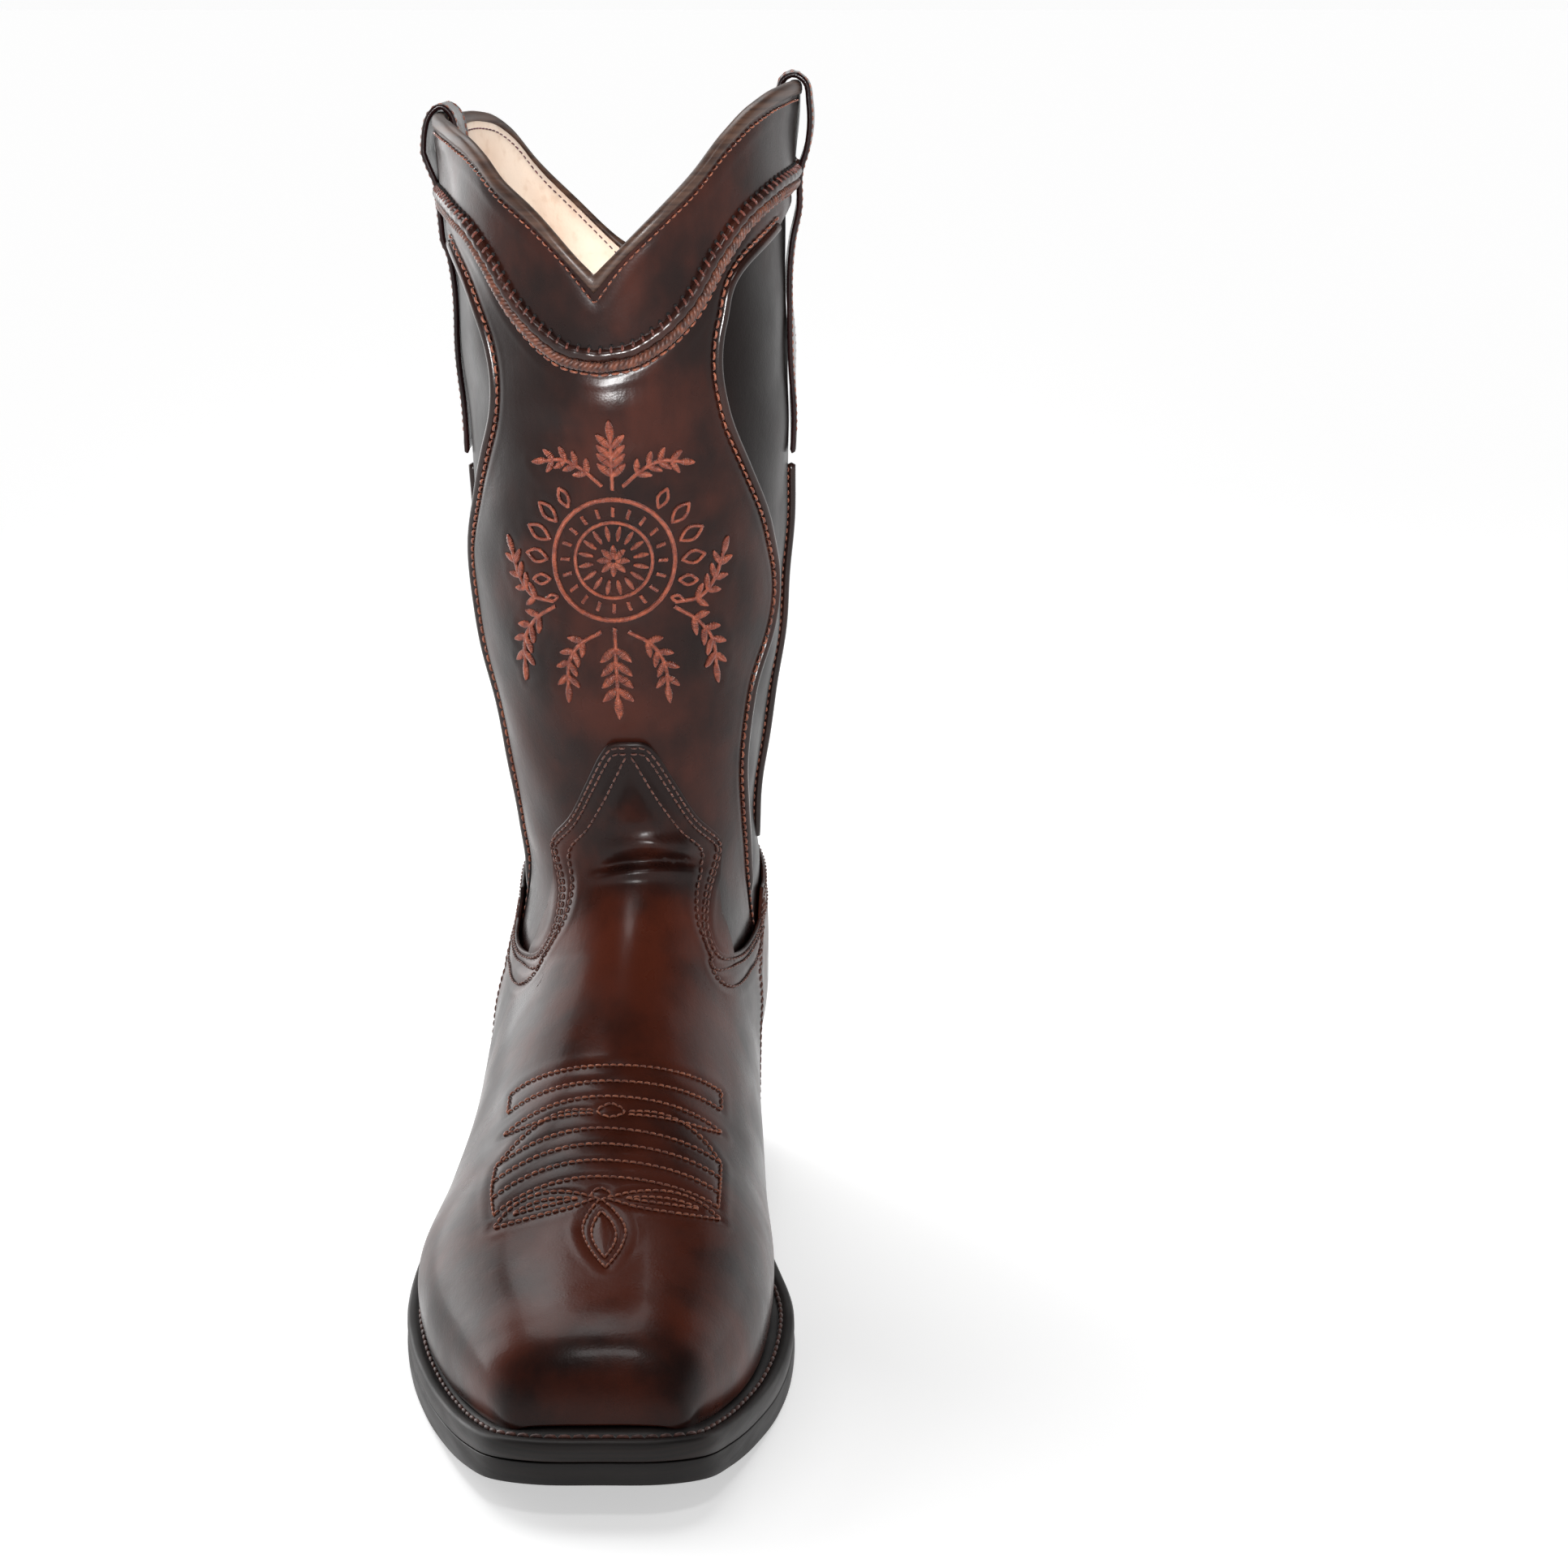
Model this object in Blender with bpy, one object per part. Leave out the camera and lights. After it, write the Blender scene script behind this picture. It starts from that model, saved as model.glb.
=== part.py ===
"""Western boot, right foot, about men's US 9: every leather, lining, sole and heel piece is its own closed body.

Axes: toe toward -Y, medial side +X, sole on Z = 0. Lengths are in millimetres until a mesh is made.

The upper follows one reference surface. A point on it is (t, u): t runs down the shaft and out to the toe,
u runs round from the front centre line (0) to the back centre line or the sole line (-1 lateral, +1 medial).
Every leather layer is a patch of that surface with its own inner and outer offset, so layers never cross.
"""

import math

import bmesh
import bpy
import numpy as np
from mathutils import Vector
from mathutils.bvhtree import BVHTree

MM = 0.001
SHIFT = (0.07, -0.576)

# ---- sole shape -------------------------------------------------------------------------------------------
SOLE_OUTLINE = [
    (3, -147.5), (-13, -146.8), (-24.5, -141), (-32, -129), (-40, -110), (-47, -90), (-53, -68), (-57, -42),
    (-56, -12), (-48, 18), (-37.5, 46), (-30.5, 74), (-29.5, 104), (-24, 127), (-11, 140), (5, 143.5),
    (21, 140), (34, 127), (39.5, 104), (37.5, 74), (33, 46), (37.5, 14), (45.5, -14), (51, -42),
    (50.5, -68), (47, -90), (41.5, -110), (35, -129), (29, -141), (18.5, -146.8),
]
UNDERSIDE_Y = [-148, -130, -110, -90, -76, -44, -28, -12, 5, 25, 45, 62, 78, 100, 145]
UNDERSIDE_Z = [9.5, 5.4, 2.0, 0.3, 0.0, 0.0, 0.9, 3.2, 8.0, 15.6, 23.6, 30.0, 34.0, 36.0, 37.5]
STACK_Y = [-150, -20, 40, 75, 150]
STACK_Z = [11.6, 11.4, 9.4, 8.6, 8.6]
OUTSOLE_THICKNESS = [6.2, 6.0, 4.4, 4.0, 4.0]
FEATHER_Y = [-150, -60, 0, 45, 80, 150]
FEATHER_MARGIN = [10.2, 10.2, 9.0, 6.2, 5.6, 6.3]
HEEL_BREAST_Y = 78.0

# ---- upper shape: stations along t ------------------------------------------------------------------------
T = [0, 1, 1.8, 2.5, 3.1, 3.6, 4.0, 4.4, 4.8, 5.2, 5.7, 6.2, 6.8, 7.4, 8.0, 8.5, 8.9, 9.2, 9.5, 9.8, 10]
FRONT_Y = [-3, -1, 2.5, 8.5, 15, 18.2, 15.4, 9.2, 1.2, -7, -17.2, -31.2, -49.2, -69.2, -89.2, -107.2, -119.8, -128,
           -133.7, -136.8, -137.6]
FRONT_Z = [352, 290, 240, 192, 150, 127.5, 117.4, 108.6, 99.9, 92.2, 84.2, 75.2, 66.2, 57.8, 49.8, 44.3, 40.9, 37.2,
           31, 23.8, 19.6]
BACK_Y = [147, 146, 143, 137.5, 131, 127.5, 130.3, 136.3, 137.4]
BACK_Z = [352, 290, 240, 192, 148, 120, 98, 72, 46]
SOLE_LINE_Y = [137.4, 119, 88, 48, 2, -40, -75, -100, -114, -122.4, -128.8, -134.4, -136.6]
LATERAL_X = [-52.5, -49.3, -45.8, -44.4, -36, -31.8, -30.4, -33, -36.8, -38, -38, -39.4, -44.6, -50,
             -45.4, -37.2, -30.8, -26.4, -22.6, -18.6, -14.6]
MEDIAL_X = [53, 51.3, 52.2, 50.3, 44.4, 41.4, 40.4, 41, 41.4, 40.8, 39, 39.4, 41.4, 43.4,
            41.4, 36.4, 31.6, 28, 24.8, 21.8, 18]
WIDEST = [.5, .5, .5, .5, .5, .5, .53, .56, .6, .62, .64, .68, .72, .74, .74, .74, .74, .74, .74, .74, .74]
FRONT_POWER = [2.15, 2.15, 2.15, 2.1, 2.05, 2, 1.95, 1.9, 1.9, 1.9, 1.9, 1.9, 1.95, 2.1,
               2.25, 2.4, 2.55, 2.7, 2.85, 3, 3.1]
BACK_POWER = [2.15, 2.15, 2.1, 2.1, 2.05, 2.05, 2.1, 2.2, 2.3, 2.5, 2.7, 2.8, 2.9, 3, 3, 3, 3, 3, 3, 3, 3]
T_HEEL = 4.8
T_ROWS = 321
U_HALF = 81

# ---- outlines of the upper pieces, as (u, z) from the front or back centre to the side ---------------------
TOP_FRONT = [(0, 290), (.046, 300.3), (.092, 309.2), (.145, 318.5), (.195, 328.4), (.25, 335.5), (.32, 339.6),
             (.4, 341), (.5, 341.2)]
TOP_BACK = [(0, 286), (.05, 295), (.1, 304.5), (.16, 315), (.22, 325.5), (.29, 333.5), (.37, 338.5), (.5, 341.2)]
TRIM = [(0, 270.6), (.04, 271.8), (.08, 276), (.125, 284), (.18, 298.5), (.24, 309), (.34, 315.6), (.5, 318)]
# panel edges as (z, u)
EDGE_MEDIAL = [(310, .42), (305, .35), (296, .236), (279, .178), (267, .167), (254, .178), (237, .226), (218, .291),
               (205, .327), (186, .322), (170, .285), (153, .272), (130, .312), (116, .36), (92, .43)]
EDGE_LATERAL = [(304, .42), (299, .36), (290, .285), (279, .242), (269, .224), (257, .22), (242, .262), (218, .345),
                (206, .375), (190, .385), (170, .375), (153, .37), (135, .385), (116, .42), (92, .455)]
EDGE_BACK = [(310, .42), (305, .35), (296, .24), (279, .185), (267, .172), (254, .183), (237, .23), (218, .3),
             (205, .335), (186, .335), (170, .31), (153, .3), (130, .33), (116, .37), (96, .41)]
TONGUE = [(0, 160.4), (.03, 159.9), (.05, 156.4), (.083, 147), (.128, 136), (.185, 128.2), (.196, 124.5),
          (.188, 118.5), (.162, 110), (.158, 102), (.19, 94.4), (.25, 91), (.33, 89.8), (.43, 92.4), (.485, 101)]
COUNTER_TOP = [(0, 139.5), (.07, 138), (.13, 133), (.2, 122), (.27, 111.5), (.34, 106.6), (.42, 104.2), (.51, 101)]
SIDE_SEAM = [(67.5, 101), (62.5, 91.5), (55, 77.5), (46, 61), (38, 46), (31, 33)]

# ---- layer offsets from the reference surface (inner, outer) ----------------------------------------------
PANEL = (-1.4, 0.0)
COLLAR = (-1.4, 0.4)
SIDE_PANEL = (-3.4, -2.2)
SHAFT_LINING = (-5.4, -4.6)
LINING_RISE = 2.5
COVER = (1.1, 2.3)
FOOT_LINING = (-3.0, -2.1)
STIFFENER = (-1.3, -0.3)
WELT_CLEARANCE = 1.3


def profile(xs, ys, x):
    """Smooth curve through the points that never overshoots them."""
    xs, ys, x = (np.asarray(v, float) for v in (xs, ys, x))
    step = np.diff(xs)
    slope = np.diff(ys) / step
    tangent = np.zeros_like(ys)
    for k in range(1, len(xs) - 1):
        if slope[k - 1] * slope[k] > 0:
            wide = 2 * step[k] + step[k - 1]
            narrow = step[k] + 2 * step[k - 1]
            tangent[k] = (wide + narrow) / (wide / slope[k - 1] + narrow / slope[k])
    tangent[0], tangent[-1] = slope[0], slope[-1]
    return hermite(xs, ys, tangent, step, x)


def spline(xs, ys, x):
    """Rounder curve through the points, used where the form itself swings in and out."""
    xs, ys, x = (np.asarray(v, float) for v in (xs, ys, x))
    return hermite(xs, ys, np.gradient(ys, xs), np.diff(xs), x)


def hermite(xs, ys, tangent, step, x):
    i = np.clip(np.searchsorted(xs, x) - 1, 0, len(step) - 1)
    s = np.clip((x - xs[i]) / step[i], 0, 1)
    return ((1 + 2 * s) * (1 - s) ** 2 * ys[i] + s * (1 - s) ** 2 * step[i] * tangent[i]
            + s * s * (3 - 2 * s) * ys[i + 1] + s * s * (s - 1) * step[i] * tangent[i + 1])


def closed_spline(points, per_span):
    """Centripetal spline round a closed outline."""
    points = np.asarray(points, float)
    count = len(points)
    spans = []
    for i in range(count):
        p = [points[(i + k) % count] for k in (-1, 0, 1, 2)]
        knots = np.cumsum([0] + [math.sqrt(np.linalg.norm(p[k + 1] - p[k])) for k in range(3)])
        x = np.linspace(knots[1], knots[2], per_span, endpoint=False)[:, None]
        a = [((knots[k + 1] - x) * p[k] + (x - knots[k]) * p[k + 1]) / (knots[k + 1] - knots[k]) for k in range(3)]
        b = [((knots[k + 2] - x) * a[k] + (x - knots[k]) * a[k + 1]) / (knots[k + 2] - knots[k]) for k in range(2)]
        spans.append(((knots[2] - x) * b[0] + (x - knots[1]) * b[1]) / (knots[2] - knots[1]))
    return np.vstack(spans)


def inset(outline, margin):
    """Outline moved inward by a margin for each point."""
    along = np.roll(outline, -1, 0) - np.roll(outline, 1, 0)
    along /= np.linalg.norm(along, axis=1)[:, None]
    normal = np.stack([along[:, 1], -along[:, 0]], 1)
    if ((outline - outline.mean(0)) * normal).sum() > 0:
        normal = -normal
    return outline + normal * np.broadcast_to(margin, len(outline))[:, None]


def outline_x(outline, y, side):
    """X of the outline at y, on the lateral (-1) or medial (+1) side."""
    first, last = outline[:, 1].argmin(), outline[:, 1].argmax()
    if side < 0:
        order = np.arange(first, last + (0 if last > first else len(outline)) + 1)
    else:
        order = np.arange(last, first + (0 if first > last else len(outline)) + 1)[::-1]
    run = outline[order % len(outline)]
    return np.interp(y, np.maximum.accumulate(run[:, 1]), run[:, 0])


def underside_z(y):
    return profile(UNDERSIDE_Y, UNDERSIDE_Z, y)


def outsole_top_z(y):
    return underside_z(y) + profile(STACK_Y, OUTSOLE_THICKNESS, y)


def feather_z(y):
    return underside_z(y) + profile(STACK_Y, STACK_Z, y)


OUTSOLE = closed_spline(SOLE_OUTLINE, 16)
FEATHER = inset(OUTSOLE, profile(FEATHER_Y, FEATHER_MARGIN, OUTSOLE[:, 1]))


def rib(t, side):
    """Points of one cross-section of the upper, evenly spaced from the top centre line round to its end."""
    front = np.array([spline(T, FRONT_Y, t), spline(T, FRONT_Z, t)])
    if t <= T_HEEL:
        back = np.array([spline(T[:9], BACK_Y, t), spline(T[:9], BACK_Z, t)])
    else:
        back_y = profile(T[8:], SOLE_LINE_Y, t)
        back = np.array([back_y, feather_z(back_y)])
    lateral, medial = spline(T, LATERAL_X, t), spline(T, MEDIAL_X, t)
    centre, half = (lateral + medial) / 2, (medial - lateral) / 2
    widest = profile(T, WIDEST, t)
    end = 0.0
    if t > T_HEEL:
        end = np.clip((outline_x(FEATHER, back[0], side) - centre) * side / half, 0, .995)
    angle = np.linspace(0, math.pi / 2, 120)
    p, q = 2 / profile(T, FRONT_POWER, t), 2 / profile(T, BACK_POWER, t)
    down = np.r_[widest * (1 - np.cos(angle) ** p), widest + (1 - widest) * np.sin(angle[1:]) ** q]
    out = np.r_[half * np.sin(angle) ** p, half * (end + (1 - end) * np.cos(angle[1:]) ** q)]
    line = np.column_stack([centre + side * out, front + np.outer(down, back - front)])
    length = np.r_[0, np.cumsum(np.linalg.norm(np.diff(line, axis=0), axis=1))]
    even = np.linspace(0, length[-1], U_HALF)
    return np.column_stack([np.interp(even, length, line[:, k]) for k in range(3)])


def reference_surface():
    """Grid of points and unit normals over (t, u)."""
    levels = np.linspace(0, 10, T_ROWS)
    halves = {side: np.array([rib(t, side) for t in levels]) for side in (-1, 1)}
    points = np.concatenate([halves[-1][:, :0:-1], halves[1]], axis=1)
    around = np.gradient(points, axis=1)
    down = np.gradient(points, axis=0)
    closed = levels <= T_HEEL
    around[closed, 0] = around[closed, -1] = points[closed, 1] - points[closed, -2]
    normals = np.cross(down, around)
    normals /= np.linalg.norm(normals, axis=2)[..., None]
    normals[closed, 0] = normals[closed, -1]
    return levels, points, level_near_sole(points, normals)


def level_near_sole(points, normals):
    """Turns the normals level where the upper comes down to the welt, so that layers stay above it."""
    along = np.roll(FEATHER, -1, 0) - np.roll(FEATHER, 1, 0)
    outward = np.column_stack([along[:, 1], -along[:, 0]]) / np.linalg.norm(along, axis=1)[:, None]
    if ((FEATHER - FEATHER.mean(0)) * outward).sum() < 0:
        outward = -outward
    clear = points[..., 2] - feather_z(points[..., 1])
    low = clear < 10
    near = points[low]
    gap = ((near[:, None, :2] - FEATHER[None]) ** 2).sum(-1)
    level = np.column_stack([outward[gap.argmin(1)], np.zeros(len(near))])
    weight = np.clip((10 - clear[low]) / 6, 0, 1)[:, None]
    weight = weight * weight * (3 - 2 * weight)
    mixed = normals[low] * (1 - weight) + level * weight
    normals[low] = mixed / np.linalg.norm(mixed, axis=1)[:, None]
    return normals


LEVELS, POINTS, NORMALS = reference_surface()


def lookup(table, t, u):
    """Value of a surface table at (t, u)."""
    t, u = np.broadcast_arrays(np.asarray(t, float), np.asarray(u, float))
    row = np.clip(t / 10 * (T_ROWS - 1), 0, T_ROWS - 1 - 1e-9)
    column = np.clip((u + 1) * (U_HALF - 1), 0, 2 * U_HALF - 2 - 1e-9)
    i, j = row.astype(int), column.astype(int)
    a, b = (row - i)[..., None], (column - j)[..., None]
    return ((1 - a) * (1 - b) * table[i, j] + (1 - a) * b * table[i, j + 1]
            + a * (1 - b) * table[i + 1, j] + a * b * table[i + 1, j + 1])


def wrapped(u):
    """Brings a u that has passed the back centre line onto the other side."""
    u = np.asarray(u, float)
    return np.where(u > 1, u - 2, np.where(u < -1, u + 2, u))


def on_surface(t, u, offset=0.0):
    normal = lookup(NORMALS, t, u)
    normal /= np.linalg.norm(normal, axis=-1)[..., None]
    return lookup(POINTS, t, u) + normal * np.asarray(offset, float)[..., None]


def t_at(u, z):
    """t at which the surface passes height z, down the line of constant u. Only for the shaft and ankle."""
    u, z = np.broadcast_arrays(wrapped(u), np.asarray(z, float))
    rows = LEVELS <= 5.2
    result = np.empty(u.shape)
    for index in np.ndindex(u.shape):
        heights = lookup(POINTS, LEVELS[rows], u[index])[:, 2]
        result[index] = np.interp(-z[index], -heights, LEVELS[rows])
    return result


def side_point(y, z, side):
    """(t, u) of the surface point seen at (y, z) from that side."""
    half = POINTS[:, U_HALF - 1:] if side > 0 else POINTS[:, U_HALF - 1::-1]
    target = np.array([y, z])
    i, j = np.unravel_index(((half[..., 1:] - target) ** 2).sum(-1).argmin(), half.shape[:2])
    i, j = min(max(i, 1), T_ROWS - 2), min(max(j, 1), U_HALF - 2)
    by_row = (half[i + 1, j, 1:] - half[i - 1, j, 1:]) / 2
    by_column = (half[i, j + 1, 1:] - half[i, j - 1, 1:]) / 2
    move = np.linalg.solve(np.column_stack([by_row, by_column]), target - half[i, j, 1:])
    move = np.clip(move, -1, 1)
    return (i + move[0]) * 10 / (T_ROWS - 1), side * (j + move[1]) / (U_HALF - 1)


# ---- meshes -----------------------------------------------------------------------------------------------
def body(name, vertices, faces):
    """One closed body, faces outward."""
    mesh = bpy.data.meshes.new(name)
    scaled = (np.asarray(vertices, float) + (SHIFT[0], SHIFT[1], 0)) * MM
    mesh.from_pydata(scaled.tolist(), [], faces)
    work = bmesh.new()
    work.from_mesh(mesh)
    bmesh.ops.remove_doubles(work, verts=work.verts, dist=1e-6)
    bmesh.ops.triangulate(work, faces=[face for face in work.faces if len(face.verts) > 3])
    bmesh.ops.recalc_face_normals(work, faces=work.faces)
    work.to_mesh(mesh)
    work.free()
    solid = bpy.data.objects.new(name, mesh)
    bpy.context.scene.collection.objects.link(solid)
    return solid


def sheet_body(name, outer, inner):
    """Body between two grids of points with the same rows and columns."""
    rows, columns = outer.shape[:2]
    vertices = np.concatenate([outer.reshape(-1, 3), inner.reshape(-1, 3)])
    far = rows * columns
    faces = []
    for i in range(rows - 1):
        for j in range(columns - 1):
            a, b = i * columns + j, i * columns + j + 1
            c, d = b + columns, a + columns
            faces += [(a, b, c), (a, c, d), (far + a, far + c, far + b), (far + a, far + d, far + c)]
    rim = list(range(columns - 1)) + [i * columns + columns - 1 for i in range(rows - 1)]
    rim += [(rows - 1) * columns + j for j in range(columns - 1, 0, -1)]
    rim += [i * columns for i in range(rows - 1, 0, -1)]
    for a, b in zip(rim, rim[1:] + rim[:1]):
        faces.append((a, far + a, far + b, b))
    return body(name, vertices, faces)


def patch(name, t, u, offsets):
    """Layer over a grid of (t, u), between an inner and an outer offset."""
    u = wrapped(u)
    inner, outer = offsets
    shape = np.broadcast(t, u).shape
    return sheet_body(
        name,
        on_surface(t, u, np.broadcast_to(outer, shape)),
        on_surface(t, u, np.broadcast_to(inner, shape)),
    )


def swept(name, sections):
    """Body through a run of closed cross-sections, flat at both ends."""
    sections = np.asarray(sections)
    count, corners = sections.shape[:2]
    faces = []
    for i in range(count - 1):
        for k in range(corners):
            a, b = i * corners + k, i * corners + (k + 1) % corners
            faces.append((a, b, b + corners, a + corners))
    faces.append(tuple(range(corners)))
    faces.append(tuple((count - 1) * corners + k for k in range(corners)))
    return body(name, sections.reshape(-1, 3), faces)


def cord(name, t, u, height, radius, corners=6):
    """Round cord laid along a line of (t, u), its axis at a height above the reference surface."""
    u = wrapped(u)
    axis = on_surface(t, u, np.broadcast_to(height, np.shape(u)))
    normal = lookup(NORMALS, t, u)
    along = np.gradient(axis, axis=0)
    along /= np.linalg.norm(along, axis=1)[:, None]
    across = np.cross(along, normal)
    across /= np.linalg.norm(across, axis=1)[:, None]
    upright = np.cross(across, along)
    turns = np.arange(corners) * 2 * math.pi / corners
    sections = (axis[:, None] + radius * (np.cos(turns)[None, :, None] * across[:, None]
                                          + np.sin(turns)[None, :, None] * upright[:, None]))
    return swept(name, sections)


def along_curve(points, count, bias=None):
    """The curve resampled to an even spacing by length."""
    points = np.asarray(points, float)
    length = np.r_[0, np.cumsum(np.linalg.norm(np.diff(points, axis=0), axis=1))]
    share = np.linspace(0, 1, count) if bias is None else np.asarray(bias)
    return np.column_stack([np.interp(share * length[-1], length, points[:, k]) for k in range(points.shape[1])])


def coons(top, bottom, left, right):
    """(t, u) grid that fills four edge curves: rows run from top to bottom, columns from left to right."""
    rows, columns = len(left), len(top)
    i, j = np.linspace(0, 1, rows)[:, None, None], np.linspace(0, 1, columns)[None, :, None]
    corners = ((1 - i) * (1 - j) * top[0] + (1 - i) * j * top[-1] + i * (1 - j) * bottom[0] + i * j * bottom[-1])
    return (1 - i) * top[None] + i * bottom[None] + (1 - j) * left[:, None] + j * right[:, None] - corners


def curve_at(table, x, smooth=True):
    xs, ys = zip(*table)
    return profile(xs, ys, x) if smooth else np.interp(x, xs, ys)


def edge_u(table, z):
    """u of a panel edge at height z."""
    zs, us = zip(*table[::-1])
    return spline(zs, us, z)


# ---- shaft ------------------------------------------------------------------------------------------------
EAR_DROP = 9.0
TRIM_DROP = 6.0
NOTCH_SHIFT = 0.021


def from_notch(u, back):
    """Distance round from the notch, which sits a little toward the lateral side at the front."""
    return np.abs(u) if back else np.abs(u + NOTCH_SHIFT * np.clip(1 - np.abs(u) / .5, 0, 1))


def top_z(u, back):
    """Height of the top edge: the lateral ear stands lower than the medial one."""
    start, end = (.2, .43) if back else (.08, .3)
    table = TOP_BACK if back else TOP_FRONT
    return curve_at(table, from_notch(u, back)) - EAR_DROP * smooth_step(start, end, -u)


def trim_z(u, back=False):
    return curve_at(TRIM, from_notch(u, back)) - TRIM_DROP * smooth_step(.1, .35, -u)


def side_level(z, side):
    """Heights near the trim line, lowered with it on the lateral side."""
    return z - TRIM_DROP * smooth_step(285, 310, z) * (side < 0)


def smooth_step(start, end, x):
    """0 at start, 1 at end, smooth between."""
    s = np.clip((np.asarray(x, float) - start) / (end - start), 0, 1)
    return s * s * (3 - 2 * s)


def around(u, back):
    """Turns a u counted from the front or back centre line into the surface's own u."""
    return np.where(np.asarray(u) >= 0, 1 - np.abs(u), np.abs(u) - 1) if back else np.asarray(u)


SIDE_U = 0.4975
QUARTER_TURN = 100.0
COLLAR_COLUMNS = np.array([-SIDE_U, -.44, -.38, -.32, -.265, -.22, -.18, -.14, -.1, -.06, 0])
COLLAR_COLUMNS = np.r_[COLLAR_COLUMNS, -COLLAR_COLUMNS[-2::-1]]


def collar_columns(back):
    """Columns of the pieces along the top edge, with one exactly at the notch."""
    if back:
        return COLLAR_COLUMNS
    return COLLAR_COLUMNS - NOTCH_SHIFT * np.clip(1 - np.abs(COLLAR_COLUMNS) / .5, 0, 1)


def shaft_grid(columns, rows_z, back):
    """(t, u) grid whose rows are given as heights for each column."""
    u = np.broadcast_to(around(columns, back), rows_z.shape)
    return t_at(u, rows_z), u


def collar(name, back):
    columns = collar_columns(back)
    top = top_z(columns, back)
    bottom = trim_z(columns, back) + .2
    share = np.linspace(0, 1, 4)[:, None]
    t, u = shaft_grid(columns, top * (1 - share) + bottom * share, back)
    patch(name, t, u, COLLAR)


PANEL_EDGE_Z = np.array([313, 309, 303.5, 297, 288, 277, 264, 250, 235, 220, 205, 189, 172, 156, 142, 130, 119, 108, 98])
PANEL_END_U = 0.42


def edge_levels(table, low, side, back):
    """Where each row of a panel meets its edge: u there, and the share of the way down from the trim line."""
    levels = side_level(PANEL_EDGE_Z, side)
    u = np.minimum(edge_u(table, np.minimum(levels, table[0][0])), PANEL_END_U)
    top = trim_z(side * u, back) - .5
    share = (top - levels) / (top - low(u))
    last = edge_u(table, 90.0)
    return np.r_[PANEL_END_U, u, last], np.r_[0, share, 1]


def shaft_panel(name, left_edge, right_edge, low, back):
    """Front or back panel: under the collar at the top, between its two shaped edges, tucked under the foot."""
    left_u, left_share = edge_levels(left_edge, low, -1, back)
    right_u, right_share = edge_levels(right_edge, low, 1, back)
    across = np.r_[-1, collar_columns(back)[np.abs(COLLAR_COLUMNS) < .4] / PANEL_END_U, 1]
    blend = (across + 1) / 2
    u = np.where(across < 0, left_u[:, None] * across, right_u[:, None] * across)
    share = left_share[:, None] * (1 - blend) + right_share[:, None] * blend
    top = trim_z(u, back) - .5
    z = top - share * (top - low(u))
    surface_u = around(u, back)
    patch(name, t_at(surface_u, z), surface_u, PANEL)


def front_low(u):
    """Lower edge of the front panel, tucked under the vamp."""
    return curve_at([(0, 150), (.08, 139), (.16, 114), (.22, 90), (.3, 84.5), (.38, 86), (.5, 92)], np.abs(u))


def back_low(u):
    """Lower edge of the back panel, tucked under the counter."""
    return curve_at([(0, 130), (.13, 124), (.2, 113), (.27, 102.5), (.34, 99), (.5, 99)], np.abs(u))


def side_panel(name, side):
    """Plain inset between the two panels, running under both edges, the foot and the collar."""
    lap = .02
    heights = np.array([306, 298, 287, 275, 262, 248, 233, 218, 203, 187, 171, 155, 139, 124, 109, 94])
    heights = side_level(heights, side)
    front = edge_u(EDGE_MEDIAL if side > 0 else EDGE_LATERAL, heights) - lap
    back = 1 - edge_u(EDGE_BACK, heights) + lap
    columns = 13
    share = np.linspace(0, 1, columns)[None, :]
    u = front[:, None] * (1 - share) + back[:, None] * share
    z = np.repeat(heights[:, None], columns, axis=1)
    gap_top = trim_z(side * np.where(u[0] < .5, u[0], 1 - u[0])) - 1
    rise = np.clip(1 - (heights[0] - heights) / 20, 0, 1)[:, None]
    z = z + rise * (gap_top - heights[0])[None, :] * np.sin(math.pi * share) ** .6
    patch(name, t_at(side * u, z), side * u, SIDE_PANEL)


def shaft_lining(name, back):
    columns = collar_columns(back)
    top = top_z(columns, back)
    trim = trim_z(columns, back)
    low = 112.0 if not back else 106.0
    rows = [top, trim + 12, trim + 5, trim - 3]
    rows += [low + (trim - 3 - low) * share for share in (.86, .72, .58, .44, .32, .22, .13, .05)]
    z = np.array(rows)
    u = np.broadcast_to(around(columns, back), z.shape)
    t = t_at(u, z)
    t = np.vstack([t] + [np.full(len(columns), level) for level in (4.08, 4.28, 4.55)])
    u = np.vstack([u, u[:3]])
    rise = np.zeros(t.shape)
    rise[0], rise[1], rise[2] = LINING_RISE, .9 * LINING_RISE, .45 * LINING_RISE
    patch(name, t, u, (SHAFT_LINING[0] + rise, SHAFT_LINING[1] + rise))


def beside_trim(distance, back, reach=.43, count=25):
    """(u, z) of a line that runs a set distance above (+) or below (-) the collar trim line."""
    u = np.linspace(-reach, reach, 121)
    flat = np.column_stack([u * QUARTER_TURN * 2, trim_z(u, back)])
    along = np.gradient(flat, axis=0)
    along /= np.linalg.norm(along, axis=1)[:, None]
    moved = flat + distance * np.column_stack([-along[:, 1], along[:, 0]])
    even = along_curve(moved, count)
    return even[:, 0] / (QUARTER_TURN * 2), even[:, 1]


def collar_cord(name, back):
    u, z = beside_trim(1.4, back)
    surface_u = around(u, back)
    cord(name, t_at(surface_u, z), surface_u, 2.2, 1.3)


def collar_braid(name, back):
    u, z = beside_trim(-2.3, back)
    surface_u = around(u, back)
    cord(name, t_at(surface_u, z), surface_u, 1.7, 1.2)


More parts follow.
